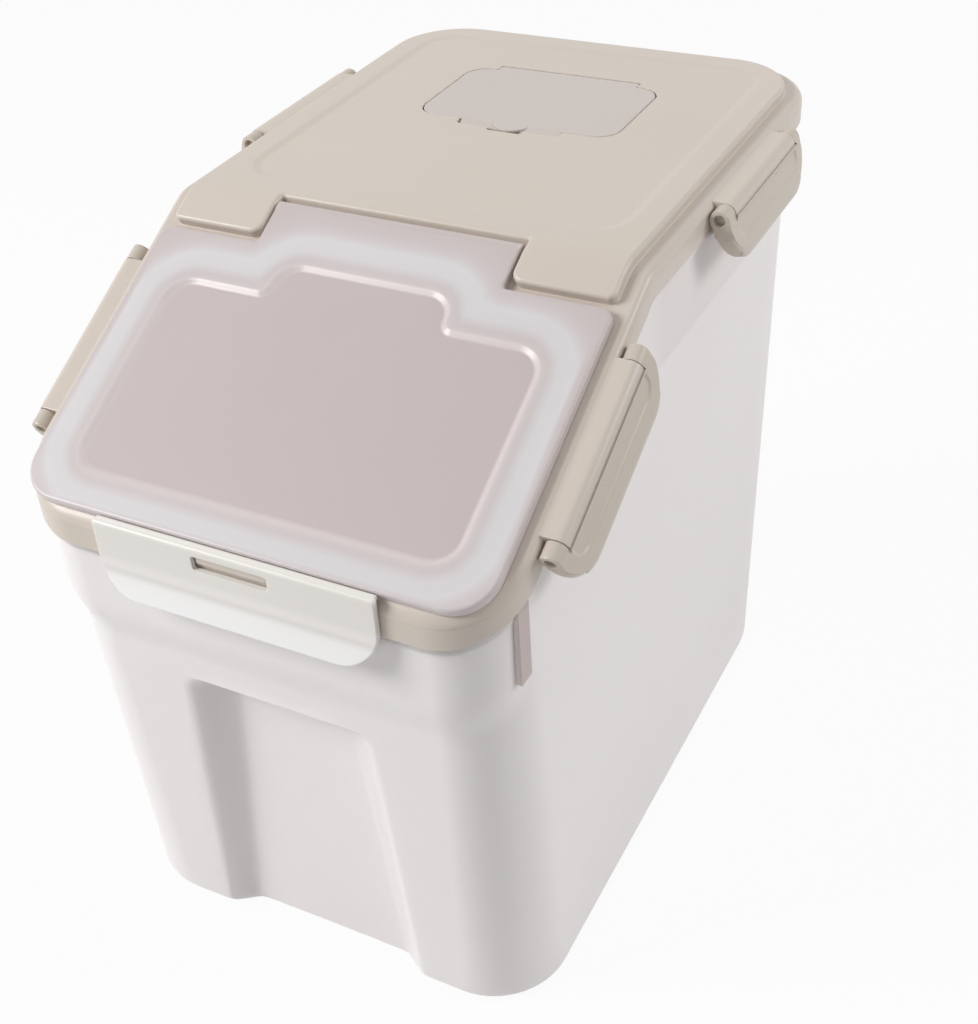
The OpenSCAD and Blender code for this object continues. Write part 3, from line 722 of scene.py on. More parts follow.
# %% Pads that carry the clips' rods
KNUCKLE_R, KNUCKLE_L, PART_GAP = 4.2, 7, 0.3
CLIP_L, CLIP_REAR_Y, CLIP_FRONT_S = 88, 63, 73
PAD_R, PAD_DROP, PAD_FLAT = 5, 0.5, 3
PAD_ENDS = [(0.5, 0), (0.15, 0.15), (0, 0.5)]
CLIP_X = LID_W / 2 + KNUCKLE_R + 0.4
PAD_HALF = CLIP_L / 2 - KNUCKLE_L - PART_GAP
CLIP_MIDDLES = {"rear": flat_v(CLIP_REAR_Y), "front": -CLIP_FRONT_S}


def pad_profile(inset):
    nose = [math.pi / 2 * (1 - k / 8) for k in range(17)]
    start = LID_W / 2 - EDGE_R
    drawn = PAD_R - PAD_DROP - inset
    top = [(start, drawn - PAD_R), (start + PAD_FLAT, drawn - PAD_R)]
    round_nose = [(CLIP_X + drawn * math.cos(a), -PAD_R + drawn * math.sin(a)) for a in nose]
    return top + round_nose + [(start + PAD_FLAT, -PAD_R - drawn), (start, -PAD_R - drawn)]


def pad_skin(end, side):
    skin = Skin(on_lid)
    middle = CLIP_MIDDLES[end]
    spots = [(inset, run - PAD_HALF) for inset, run in PAD_ENDS]
    spots += [(inset, PAD_HALF - run) for inset, run in reversed(PAD_ENDS)]
    loops = []
    for inset, along in spots:
        profile = pad_profile(inset)
        loops.append(skin.row([skin.place(side * x, middle + along, h) for x, h in profile]))
    skin.loft(loops)
    skin.cap(loops[0])
    skin.cap(loops[-1])
    return skin


print("length of a pad:", 2 * PAD_HALF, "mm")

# %% Catch tongue on the front skirt
CATCH_W, CATCH_H, CATCH_REACH, CATCH_R, CATCH_ROOT = 30, 3.2, 1.4, 1, 1


def tongue_skin():
    skin = Skin(lambda x, z, out: metres(x, LID_FRONT + CATCH_ROOT - out, z))
    corners = plan(CATCH_W, FRONT_Z - CATCH_H, FRONT_Z, CATCH_R, CATCH_R)
    back, front = skin.stack(corners, [(0, 0)] + soft_edge(0.5, CATCH_ROOT + CATCH_REACH, 3))
    fill(skin, back)
    fill(skin, front)
    return skin


lid_shell, lid_inner, lid_mouth, lid_hole = lid_skin()
lid_underside(lid_shell, lid_inner, lid_mouth, lid_hole)
pads = [pad_skin(end, side) for end in CLIP_MIDDLES for side in (-1, 1)]
shell("lid_top", [lid_shell, lid_lip(), tongue_skin(), *pads], lid_plastic, "lid",
    ["lid_frame"])

# %% [markdown]
# ## The flip door
# The door is a see-through tray lid turned upside down: a flat sheet with a rim that turns down, and a
# middle that is pressed in to the shape of the mouth. At its upper edge a tongue fits between the two
# ears and rolls down into the hinge barrel.

# %% Outline of the door with its rolled hinge edge
DOOR_W, DOOR_SHOULDER, DOOR_FRONT = 198, 20, 146.5
DOOR_H, DOOR_T, DOOR_RIM, DOOR_GAP = 4.2, 2.2, 2, 0.4
DOOR_R, SHOULDER_R, TONGUE_INNER_R, TONGUE_R = 17, 5, 1.5, 0.5
SINK, SINK_BORDER, SINK_RUN = 1.2, 3, 3.2
TONGUE_HALF = NOTCH_W / 2 - 1
DOOR_EDGE = 1.3


def rolled(radius, drop):
    """How far a rounded edge of some radius is drawn in at a depth below its top."""
    below = max(radius - drop, 0.0)
    return radius - math.sqrt(radius ** 2 - below ** 2)


def door_corners(drop, inset=0.0):
    edge = rolled(DOOR_EDGE, drop) + inset
    back = HINGE_V + BARREL_R - rolled(BARREL_R, drop) - inset
    return both_sides([
        (DOOR_W / 2 - edge, -DOOR_FRONT + edge, DOOR_R - edge),
        (DOOR_W / 2 - edge, -DOOR_SHOULDER - edge, SHOULDER_R),
        (TONGUE_HALF - edge, -DOOR_SHOULDER - edge, TONGUE_INNER_R),
        (TONGUE_HALF - edge, back, TONGUE_R),
    ])


print("tongue of the door:", 2 * TONGUE_HALF, "mm wide")

# %% Measure how far a point of the door lies from its pressed-in middle
panel_edge = outline(mouth_corners, -SINK_BORDER)


def to_edge(point, loop):
    """Distance from a flat point to the nearest edge of a loop."""
    nearest = math.inf
    for k, start in enumerate(loop):
        a, b = Vector(loop[k - 1]), Vector(start)
        share = (point - a).dot(b - a) / max((b - a).length_squared, 1e-9)
        nearest = min(nearest, (point - a.lerp(b, max(0.0, min(1.0, share)))).length)
    return nearest


def off_panel(x, y, z):
    """The distance from the panel's edge, negative inside it, of a point on the slope in millimetres."""
    v = (y - BEND_Y) * math.cos(SLOPE) + (z - LID_H) * math.sin(SLOPE)
    away = to_edge(Vector((x, v)), panel_edge)
    return -away if inside((x, v), panel_edge) else away


print("just inside the panel's edge:", round(off_panel(*on_slope(0, 1 - MOUTH_BOTTOM, 0) / MM), 1), "mm")

# %% Build the door's shell
DOOR_ROWS = [-DOOR_FRONT + 4 * k for k in range(1, 37)]
DOOR_DROPS = [DOOR_H - DOOR_GAP, 3.2, 2.6, 2.0, 1.6, DOOR_EDGE, 1.0, 0.7, 0.45, 0.25, 0.1, 0.03, 0.0]
DOOR_UNDER = [(DOOR_H - DOOR_GAP, DOOR_RIM), (DOOR_T + 0.4, DOOR_RIM), (DOOR_T, DOOR_RIM + 0.5)]


def pressed(run, height):
    """Steps that press the panel in from an inset over a run, with a soft start and end."""
    return [(run + SINK_RUN * k / 8, height - SINK * ease(k / 8)) for k in range(9)]


def door_ring(skin, level, drop, inset=0.0):
    return skin.ring(outline(door_corners(drop, inset), steps=10), DOOR_H - level)


def door_skin():
    skin = Skin(on_slope)
    rings = [door_ring(skin, drop, drop) for drop in DOOR_DROPS]
    skin.loft(rings)
    brow, floor = skin.stack(mouth_corners, pressed(-SINK_BORDER - SINK_RUN / 2, DOOR_H))
    fill(skin, rings[-1], [brow], DOOR_H, DOOR_ROWS)
    fill(skin, floor, height=DOOR_H - SINK, rows=DOOR_ROWS)
    inner = [door_ring(skin, level, DOOR_EDGE, inset) for level, inset in DOOR_UNDER]
    skin.loft([rings[0]] + inner)
    dent, low = skin.stack(mouth_corners, pressed(-SINK_BORDER - DOOR_T, DOOR_H - DOOR_T))
    fill(skin, inner[-1], [dent], DOOR_H - DOOR_T)
    fill(skin, low, height=DOOR_H - DOOR_T - SINK)
    return skin


# %% Hinge barrel under the tongue
def circle(radius, count=32):
    turns = [2 * math.pi * k / count for k in range(count)]
    return [(radius * math.cos(a), radius * math.sin(a)) for a in turns]


def rod_skin(place, half, radius, bevel=0.3):
    """A rod along x with eased ends."""
    skin = Skin(place)
    small = radius - bevel
    spots = [(-half, small), (bevel - half, radius), (half - bevel, radius), (half, small)]
    loops = [skin.row([place(x, a, b) for a, b in circle(r)]) for x, r in spots]
    skin.loft(loops)
    skin.cap(loops[0])
    skin.cap(loops[-1])
    return skin


BARREL_SHORT, BARREL_IN = 0.1, 0.02


def round_door_hinge(x, v, h):
    return on_slope(x, HINGE_V + v, HINGE_H + h)


barrel = rod_skin(round_door_hinge, TONGUE_HALF - BARREL_SHORT, BARREL_R - BARREL_IN)
shell("door_sheet", [door_skin(), barrel], door_plastic, "door", ["flip_door"],
    {"off panel": off_panel})

# %% [markdown]
# ## Soft seals
# A seal is one section that follows a path, which is what Geometry Nodes do well: the path is the curve,
# the section is a rounded bar, and both sizes are inputs. The mouth's seal shows through the door
# as a milky band, and the rim's seal hides under the lid's edge.

# %% A node tree that sweeps a seal along a path
def new_tree(name, inputs):
    tree = bpy.data.node_groups.new(name, "GeometryNodeTree")
    tree.interface.new_socket("Geometry", in_out="INPUT", socket_type="NodeSocketGeometry")
    for title, kind in inputs.items():
        tree.interface.new_socket(title, in_out="INPUT", socket_type=kind)
    tree.interface.new_socket("Geometry", in_out="OUTPUT", socket_type="NodeSocketGeometry")
    return tree


def seal_tree():
    tree = new_tree("seal along a path", {"Width": "NodeSocketFloat", "Height": "NodeSocketFloat",
        "Edge radius": "NodeSocketFloat", "Material": "NodeSocketMaterial"})
    given = add(tree, "NodeGroupInput")
    upright = add(tree, "GeometryNodeSetCurveNormal", {"mode": "Z_UP"}, links={"Curve": (given, "Geometry")})
    section = add(tree, "GeometryNodeCurvePrimitiveQuadrilateral",
        links={"Width": (given, "Width"), "Height": (given, "Height")})
    eased = add(tree, "GeometryNodeFilletCurve", {"mode": "POLY"}, {"Count": 4},
        {"Curve": (section, "Curve"), "Radius": (given, "Edge radius")})
    swept = add(tree, "GeometryNodeCurveToMesh",
        links={"Curve": (upright, "Curve"), "Profile Curve": (eased, "Curve")})
    real = add(tree, "GeometryNodeRealizeInstances", links={"Geometry": (swept, "Mesh")})
    done = add(tree, "GeometryNodeSetMaterial",
        links={"Geometry": (real, "Geometry"), "Material": (given, "Material")})
    add(tree, "NodeGroupOutput", links={"Geometry": (done, "Geometry")})
    return tree


def grown(source, tree, values):
    """Runs a node tree on an object with named inputs and returns the result as a plain mesh."""
    bpy.context.scene.collection.objects.link(source)
    modifier = source.modifiers.new(tree.name, "NODES")
    modifier.node_group = tree
    for item in tree.interface.items_tree:
        if item.in_out == "INPUT" and item.name in values:
            modifier[item.identifier] = values[item.name]
    graph = bpy.context.evaluated_depsgraph_get()
    mesh = bpy.data.meshes.new_from_object(source.evaluated_get(graph))
    bpy.data.objects.remove(source)
    return mesh


# %% Make both seals
seal_sweep = seal_tree()
SEAL_EDGE_R = 0.4


def seal(name, path, width, low_h, high_h, place, body, node):
    """Sweeps a seal along a flat path between two heights and sets it on its sheet."""
    curve = bpy.data.curves.new(name + " path", "CURVE")
    curve.dimensions = "3D"
    line = curve.splines.new("POLY")
    line.points.add(len(path) - 1)
    for point, (x, v) in zip(line.points, path):
        point.co = (x * MM, v * MM, 0, 1)
    line.use_cyclic_u = True
    mesh = grown(bpy.data.objects.new(name + " path", curve), seal_sweep, {"Width": width * MM,
        "Height": (high_h - low_h) * MM, "Edge radius": SEAL_EDGE_R * MM, "Material": seal_rubber})
    middle = (low_h + high_h) / 2
    for vertex in mesh.vertices:
        x, v, h = vertex.co / MM
        vertex.co = place(x, v, h + middle)
    mesh.name = name
    piece(name, mesh, body, [node])


SEAL_GROW, SEAL_W, SEAL_GAP = 9.6, 12, 0.3
SEAL_EAR_R = MOUTH_R + 4
seal_path = both_sides([
    (MOUTH_W / 2 + SEAL_GROW, -MOUTH_BOTTOM - SEAL_GROW, MOUTH_R + SEAL_GROW),
    (MOUTH_W / 2 + SEAL_GROW, -MOUTH_TOP + SEAL_GROW, SEAL_EAR_R),
    (NECK_W / 2 + SEAL_GROW, -MOUTH_TOP + SEAL_GROW, NECK_R),
    (NECK_W / 2 + SEAL_GROW, -NECK_TOP + SEAL_GROW, NECK_R),
])
seal("mouth_seal", outline(seal_path), SEAL_W, SEAL_GAP, DOOR_H - DOOR_T, on_slope, "door", "door_seal")
RIM_INSET, RIM_SEAL_IN, RIM_SEAL_W, RIM_SEAL_H = 2.6, 0.5, 3.2, 2.4
seal("rim_ring", flange(RIM_INSET + RIM_SEAL_IN + RIM_SEAL_W / 2), RIM_SEAL_W, -LID_T - RIM_SEAL_H, -LID_T,
    plumb, "lid", "rim_seal")

# %% [markdown]
# ## The latch flap
# A flap hangs from the door's front edge on a thin folding edge. It is a frosted plate whose lower lip
# flares out for a finger, with a slot that snaps over the lid's catch tongue. It is drawn flat as x
# across and w down, and the lip's flare is a smooth bend in the sheet that it is placed on.

# %% The flap's sheet and outline
FLAP_W, FLAP_H, FLAP_T, FLAP_FLARE, FLAP_LIP_H, FLAP_R = 120, 30, 2, 4, 9, 16
FLAP_EDGE, FLAP_TOP_R, FLAP_BARREL_R, FLAP_GAP = 0.8, 1, 1.3, 0.6
FLAP_OVER = 1
FLARE_SHARE, FLARE_BLEND = 0.98, 5
fold_edge = on_slope(0, -DOOR_FRONT - FLAP_BARREL_R - PART_GAP, DOOR_H - FLAP_BARREL_R) / MM
FLAP_ROWS = [-FLAP_H + 1 + k for k in range(14)] + [-12, -8, -4]


def on_flap(x, w, out):
    down = -w - (FLAP_H - FLAP_LIP_H)
    flared = (down + math.sqrt(down * down + FLARE_BLEND)) / 2
    flare = FLARE_SHARE * FLAP_FLARE / FLAP_LIP_H * flared
    return metres(x, LID_FRONT - FLAP_GAP - flare - out, fold_edge.z + w)


def flap_corners(drop):
    edge, top = rolled(FLAP_EDGE, drop), rolled(FLAP_T - 0.1, drop)
    return plan(FLAP_W - 2 * edge, -FLAP_H + edge, FLAP_OVER - top, FLAP_R - edge, FLAP_TOP_R)


print("fold of the flap at y and z in mm:", round(fold_edge.y, 1), round(fold_edge.z, 1))

# %% Build the flap and its fold
FLAP_DROPS = [FLAP_T, FLAP_T - 0.3, 1.2, 0.8, 0.5, 0.3, 0.15, 0.05, 0]
SLOT_SIDE, SLOT_BELOW, SLOT_ABOVE, SLOT_R = 1, 2.2, 0.6, 1.2


def flap_skin():
    skin = Skin(on_flap)
    drawn = [outline(flap_corners(drop), rows=FLAP_ROWS, steps=12) for drop in FLAP_DROPS]
    rings = [skin.ring(flat, FLAP_T - drop) for flat, drop in zip(drawn, FLAP_DROPS)]
    skin.loft(rings)
    slot = plan(CATCH_W + 2 * SLOT_SIDE, FRONT_Z - CATCH_H - SLOT_BELOW - fold_edge.z,
        FRONT_Z + SLOT_ABOVE - fold_edge.z, SLOT_R, SLOT_R)
    back, front = skin.stack(slot,
        [(0, 0), (0, FLAP_T - 0.4), (-0.12, FLAP_T - 0.12), (-0.4, FLAP_T)])
    fill(skin, rings[0], [back], 0, FLAP_ROWS)
    fill(skin, rings[-1], [front], FLAP_T, FLAP_ROWS)
    return skin


def round_fold(x, y, z):
    return metres(x, fold_edge.y + y, fold_edge.z + z)


fold_rod = rod_skin(round_fold, FLAP_W / 2 - 0.6, FLAP_BARREL_R, 0.4)
shell("flap_plate", [flap_skin(), fold_rod], flap_plastic, "flap", ["latch_flap"],
    {"down": lambda x, y, z: fold_edge.z - z})

# %% [markdown]
# ## The tub
# The tub's wall is one tapering surface, so it is drawn as columns that run from the foot to the rim.
# The sunk panel in the front and the thicker collar near the top are pressed into that surface: a point
# moves in or out, by how far it lies inside the panel or the collar. Columns gather at the panel's
# edges, where the shape turns quickly.

# %% Sizes of the tub
WALL, FLOOR_T = 2.4, 3
BASE_W, BASE_FRONT, BASE_BACK, BASE_FRONT_R, BASE_BACK_R = 205, 158.5, 142, 33, 44
TUB_FRONT_R, TUB_BACK_R = 25, 38
RIM_W, RIM_SHOW, WALL_SET, BACK_SET = 4.2, 5, 1, 4
COLLAR_H, COLLAR_OUT, COLLAR_RUN = 34, 0.3, (-150.7, -142.6)
COLLAR_FADE = 20
RECESS_H, RECESS_W, RECESS_D, RECESS_SLOPE, RECESS_TAPER, RECESS_R = 147, 99, 8, 10, 27, 9
CORNER_STEPS = 22
TOP_INSET = RIM_INSET + WALL_SET
RIM_DEPTH = LID_T + RIM_SEAL_H + SEAL_GAP
base_corners = plan(BASE_W, -BASE_FRONT, BASE_BACK, BASE_FRONT_R, BASE_BACK_R)
crown_corners = plan(LID_W - 2 * TOP_INSET, LID_FRONT + TOP_INSET, LID_BACK - RIM_INSET - BACK_SET,
    TUB_FRONT_R, TUB_BACK_R)
collar_corners = plan(LID_W - 2 * (RIM_INSET + COLLAR_OUT), LID_FRONT + RIM_INSET + COLLAR_OUT, LID_BACK,
    LID_FRONT_R - RIM_INSET, LID_REAR_R)
print("rim lies", round(RIM_DEPTH, 1), "mm below the lid's sheet")

# %% Press the sunk panel into the front wall
def soft_max(a, b, blend):
    return (a + b + math.sqrt((a - b) ** 2 + blend ** 2)) / 2


def recess_half(z):
    """Half width of the sunk panel's floor at a height, with its round upper corners."""
    up = max(0.0, min(1.0, (z - RECESS_H + RECESS_R) / RECESS_R))
    straight = (RECESS_W - RECESS_TAPER * z / RECESS_H) / 2 - RECESS_SLOPE
    return straight - RECESS_R * (1 - math.sqrt(1 - up * up))


def press_in(x, y, z, inset):
    """Moves a point of the front wall in to the sunk panel."""
    floor_y = -BASE_FRONT + RECESS_D + inset
    side = floor_y - (abs(x) - recess_half(z) + inset * 0.7) * RECESS_D / RECESS_SLOPE
    sunk = -soft_max(-floor_y, -side, 2.0)
    share = 1 - ease(z - RECESS_H - inset + 0.5)
    return y + share * (soft_max(y, sunk, 1.2) - y)


def collar_share(y, z):
    """How far a point of the wall lies in the collar, from 0 to 1, with a soft lower edge."""
    depth = (surface_z(y) - z) * math.cos(SLOPE)
    low = SKIRT_H + RIM_SHOW + COLLAR_H
    along = ease((COLLAR_RUN[1] - y) / (COLLAR_RUN[1] - COLLAR_RUN[0]))
    return along * (1 - ease((depth - low) / COLLAR_FADE + 0.5))


print("floor of the sunk panel at the foot:", round(2 * recess_half(0)), "mm wide")

# %% Columns of the tub's wall
EDGE_TURNS = [-6, -3.5, -2, -1, 0, 1, 2, 3.5, 6]
EDGE_RUN = 12


def between(a, b, count):
    return [tuple(Vector(a).lerp(Vector(b), (k + 1) / (count + 1))) for k in range(count)]


def wall_loop(corners, inset):
    """Points round the wall without its front middle, the same number for any outline."""
    loop = outline(corners, inset, steps=CORNER_STEPS)
    arcs = [loop[k * (CORNER_STEPS + 1):(k + 1) * (CORNER_STEPS + 1)] for k in range(4)]
    points = []
    for k, count in enumerate((14, 8, 14)):
        points += arcs[k] + between(arcs[k][-1], arcs[k + 1][0], count)
    return points + arcs[3]


def front_marks(z):
    """Places across the front wall, gathered at the sunk panel's edges."""
    floor_half = recess_half(min(z, RECESS_H - RECESS_R))
    wall_half = floor_half + EDGE_RUN
    right = [floor_half * k / 4 for k in range(3)]
    right += [floor_half + turn for turn in EDGE_TURNS] + [wall_half + turn for turn in EDGE_TURNS[2:]]
    right = sorted(set(round(x, 4) for x in right))
    return [-x for x in reversed(right) if x > 0] + right


print("columns across the front wall:", len(front_marks(0)))

# %% Places of the wall's points
BRIM_EDGE = 0.8


def foot_drawn(x, y, foot):
    """Draws a point in near the floor, where the wall turns under."""
    return x * (1 - foot / (BASE_W / 2)), y * (1 - foot / BASE_FRONT)


def wall_at(loops, inset, k, z, foot=0):
    """Where column k of the wall stands at a height, on the loops of the base, the crown and the collar."""
    base, crown, collar = loops
    share = z / LID_H
    if k < len(base):
        x, y = Vector(base[k]).lerp(Vector(crown[k]), share)
        collar_x, collar_y = collar[k]
    else:
        x = front_marks(z)[k - len(base)]
        y = press_in(x, base[0][1] + share * (crown[0][1] - base[0][1]), z, inset)
        collar_x, collar_y = x, collar[0][1]
    out = collar_share(y, z)
    return foot_drawn(x + out * (collar_x - x), y + out * (collar_y - y), foot)


def brim_height(loops, inset, k):
    """The height at which column k meets the underside of the rim."""
    z = LID_H
    for _ in range(8):
        z = surface_z(wall_at(loops, inset, k, z)[1]) - (RIM_DEPTH + BRIM_EDGE)
    return z


def wall_points(inset, heights):
    """Rows of points for (height, share of the way to the brim, draw-in) steps on one side of the wall."""
    loops = [wall_loop(corners, inset) for corners in (base_corners, crown_corners, collar_corners)]
    brims = [brim_height(loops, inset, k) for k in range(len(loops[0]) + len(front_marks(0)))]
    rows = []
    for low_z, share, foot in heights:
        levels = [low_z + share * (top_z - low_z) for top_z in brims]
        rows.append([(*wall_at(loops, inset, k, z, foot), z) for k, z in enumerate(levels)])
    return rows


# %% Build the tub's wall and floor
PANEL_TOP_STEPS = [RECESS_H - RECESS_R * (1 - k / 8) for k in range(8)]
PANEL_TOP_STEPS += [RECESS_H + k * 0.25 for k in range(-2, 5)]
FEET = [(0, 0, 4), (0.4, 0, 2.6), (1, 0, 1.7), (1.8, 0, 1), (3, 0, 0.4)]
INNER_FEET = [(FLOOR_T, 0, 3), (FLOOR_T + 0.8, 0, 1.4), (FLOOR_T + 2, 0, 0.5), (FLOOR_T + 4, 0, 0)]
STRAIGHT = [(z, 0, 0) for z in (5, 20, 40, 60, 80, 100, 120, 132, *PANEL_TOP_STEPS)]
WALL_BREAK = 152
UPPER = [(WALL_BREAK, k / 56, 0) for k in range(57)]


def tub_skin():
    skin = Skin(metres)
    outer = wall_points(0, FEET + STRAIGHT + UPPER)
    inner = wall_points(WALL, INNER_FEET + STRAIGHT[1:] + UPPER)
    rows = list(reversed(inner)) + outer
    loops = [skin.row([metres(*p) for p in row], [p[:2] for p in row]) for row in rows]
    inner_floor, outer_floor = len(inner) - 1, len(inner)
    skin.loft(loops[:outer_floor])
    skin.loft(loops[outer_floor:] + loops[:1])
    fill(skin, loops[inner_floor])
    fill(skin, loops[outer_floor])
    return skin


# %% Build the tub's rim
def rim_skin():
    skin = Skin(plumb)
    outer, inner = RIM_INSET, RIM_INSET + RIM_W
    low = -SKIRT_H - RIM_SHOW
    steps = [(inner, low), (outer + 0.5, low), (outer + 0.12, low + 0.12), (outer, low + 0.5),
        (outer, -RIM_DEPTH - BRIM_EDGE), (outer + 0.25, -RIM_DEPTH - 0.2), (outer + BRIM_EDGE, -RIM_DEPTH),
        (inner - 0.6, -RIM_DEPTH), (inner, -RIM_DEPTH - 0.6)]
    first, last = skin.stack(flange, steps)
    skin.loft([last, first])
    return skin


# %% [markdown]
# On each side, near the front, a narrow guide strip runs down below the rim, darkened by painted
# shade. Further back, the band of wall just under the lid gets a little painted shade too, for the dim
# inside seen through the clearer wall. Both are kept on the mesh as the measure "shade", which the
# tub's finish turns into a tint.

# %% Guide strips on the sides
STRIP_LOW, STRIP_TOP, STRIP_OUT = 183.5, 219, 102.25
STRIP_R, STRIP_DEEP, STRIP_EDGE = 0.4, 3, 0.15
STRIP_MIDDLE = (COLLAR_RUN[0] + COLLAR_RUN[1]) / 2
STRIP_HALF = (COLLAR_RUN[1] - COLLAR_RUN[0]) / 2


def strip_skin(side):
    skin = Skin(lambda y, z, out: metres(side * (STRIP_OUT + out), STRIP_MIDDLE + y, z))
    corners = plan(2 * STRIP_HALF, STRIP_LOW, STRIP_TOP, STRIP_R, STRIP_R)
    back, front = skin.stack(corners, [(0, -STRIP_DEEP), (0, -STRIP_EDGE), (STRIP_EDGE, 0)])
    fill(skin, back, height=-STRIP_DEEP)
    fill(skin, front)
    return skin


# %% Painted shade of the strips and of the clearer band above
# Painted shade: the strips get the full tint and the band under the rim a fifth of it.
CLEAR_LOW, CLEAR_FRONT, CLEAR_PAINTED_SHADE = 240.5, -22, 0.2
CLEAR_RISE, CLEAR_RUN = 1.5, 6


def on_strip(x, y, z):
    room = 0.1
    beside = abs(y - STRIP_MIDDLE) < STRIP_HALF + room
    return abs(x) > STRIP_OUT - 2 * room and beside and STRIP_LOW - room < z < STRIP_TOP


def painted_wall_shade(x, y, z):
    """How far painted shade darkens the tub's wall from plain milky white, from 0 to 1."""
    if on_strip(x, y, z):
        return 1.0
    return CLEAR_PAINTED_SHADE * ease((z - CLEAR_LOW) / CLEAR_RISE) * ease((y - CLEAR_FRONT) / CLEAR_RUN)


shell("tub_wall", [tub_skin(), rim_skin(), strip_skin(-1), strip_skin(1)], tub_plastic, "tub",
    ["tub"], {"shade": painted_wall_shade})

# %% [markdown]
# ## The side clips
# Each clip turns on a rod with a knuckle at each end and a leaning plate between them. It is drawn as
# slices along the rod. The slices shrink towards the ends, which rounds the clip's lower corners, and
# a shallow finger recess is pressed into the plate's outer face.

# %% A slice through a clip
CLIP_REACH, CLIP_LEAN, CLIP_TIP_R, CLIP_T, CLIP_CORNER_R = 17.6, math.radians(17), 3.45, 3.5, 16
SLIT = 1.4
GRIP_D, GRIP_LOW, GRIP_R, GRIP_END, GRIP_EDGE = 0.7, 12, 7, 7.5, 0.9
OUTER_STEPS = [0, 0.12, 0.2, 0.3, 0.4, 0.46, 0.5, 0.54, 0.58, 0.62, 0.66, 0.72, 0.85, 1]


def grip(along, down):
    """Depth of the finger recess at a place on the plate."""
    half = CLIP_L / 2 - GRIP_END
    dx = max(abs(along) - half + GRIP_R, 0)
    dy = max(down - GRIP_LOW + GRIP_R, 0)
    edge = GRIP_R - math.hypot(dx, dy)
    return GRIP_D * ease(edge / GRIP_EDGE) if down > 0 else 0.0


def arc_points(radius, start, stop, count):
    turns = [start + (stop - start) * k / count for k in range(count + 1)]
    return [(radius * math.cos(a), radius * math.sin(a)) for a in turns]


def slice_points(reach, plate, draw_in, along):
    """One slice in the clip's own frame: out from the rod and down the leaning plate."""
    tip = CLIP_TIP_R - draw_in
    knuckle = KNUCKLE_R - draw_in
    first = min(SLIT, 0.8 * reach)
    outer = []
    for t in OUTER_STEPS:
        down = first + t * (reach - first)
        width = knuckle + (tip - knuckle) * down / CLIP_REACH
        outer.append((width - grip(along, down) * (draw_in == 0), -down))
    inner_tip = CLIP_T - tip if plate else tip
    middle, radius = (tip - inner_tip) / 2, (tip + inner_tip) / 2
    turns = [-math.pi * k / 12 for k in range(13)]
    low = [(middle + radius * math.cos(a), -reach + tip * math.sin(a)) for a in turns]
    if plate:
        arc = PAD_R + PART_GAP
        upper = arc_points(arc, -math.acos((KNUCKLE_R - CLIP_T) / arc), -math.asin(SLIT / arc), 16)
    else:
        upper = arc_points(knuckle, math.pi, 0, 13)
        upper += [(knuckle, -first * (k + 1) / 4) for k in range(3)]
    return outer + low + upper


print("points round a slice:", len(slice_points(CLIP_REACH, True, 0, 0)))

# %% Places along a clip
END_R = 0.6
END_RUNS = [0, 0.18, END_R, 1.0, 2.1, 3.7, 5.3, KNUCKLE_L]
PLATE_RUNS = [KNUCKLE_L, 7.4, 7.7, 8, 8.4, 9, 9.8, 10.8, 12, 13.4, 14.6, 16, 22, 32]


def clip_place(end, side):
    """Where a point of the clip's upright frame lies: out from the rod, along it, and up."""
    return lambda out, along, up: on_lid(side * (CLIP_X + out), CLIP_MIDDLES[end] + along, up - PAD_R)


def leaning(place):
    def lean(out, along, up):
        x = out * math.cos(CLIP_LEAN) - up * math.sin(CLIP_LEAN)
        return place(x, along, out * math.sin(CLIP_LEAN) + up * math.cos(CLIP_LEAN))
    return lean


# %% Body of a clip with the bores for its rod
PIN_R, PIN_RECESS, BORE_GAP = 2.3, 2.5, 0.1
BORE_R = PIN_R + BORE_GAP
BORE_STEPS = [(0, BORE_R + 0.25), (0.25, BORE_R), (PIN_RECESS + 0.8, BORE_R)]


def bored_end(skin, loop, sign):
    """Closes one end of a clip round the hole that its rod turns in."""
    ends = [(sign * (CLIP_L / 2 - depth), circle(radius)) for depth, radius in BORE_STEPS]
    rings = [skin.row([skin.place(out, along, up) for out, up in flat], flat) for along, flat in ends]
    skin.loft(rings)
    fill(skin, loop, [rings[0]])
    skin.cap(rings[-1])


def clip_skin(end, side):
    place = leaning(clip_place(end, side))
    skin = Skin(place)
    runs = [(run, False) for run in END_RUNS] + [(run, True) for run in PLATE_RUNS]
    half = [(run - CLIP_L / 2, run, plate) for run, plate in runs]
    spots = half + [(0, CLIP_L / 2, True)] + [(-along, run, plate) for along, run, plate in reversed(half)]
    loops = []
    for along, run, plate in spots:
        reach = CLIP_REACH - rolled(CLIP_CORNER_R, run)
        flat = slice_points(reach, plate, rolled(END_R, run), along)
        loops.append(skin.row([place(out, along, up) for out, up in flat], flat))
    skin.loft(loops)
    bored_end(skin, loops[0], -1)
    bored_end(skin, loops[-1], 1)
    return skin


# %% Hook that grips under the tub's rim
HOOK_H, HOOK_L, HOOK_R, HOOK_ROOT_R = 3, 60, 1.2, 0.4
HOOK_DROP = SKIRT_H + RIM_SHOW + PART_GAP - PAD_R
HOOK_IN = LID_W / 2 - RIM_INSET + PART_GAP - CLIP_X


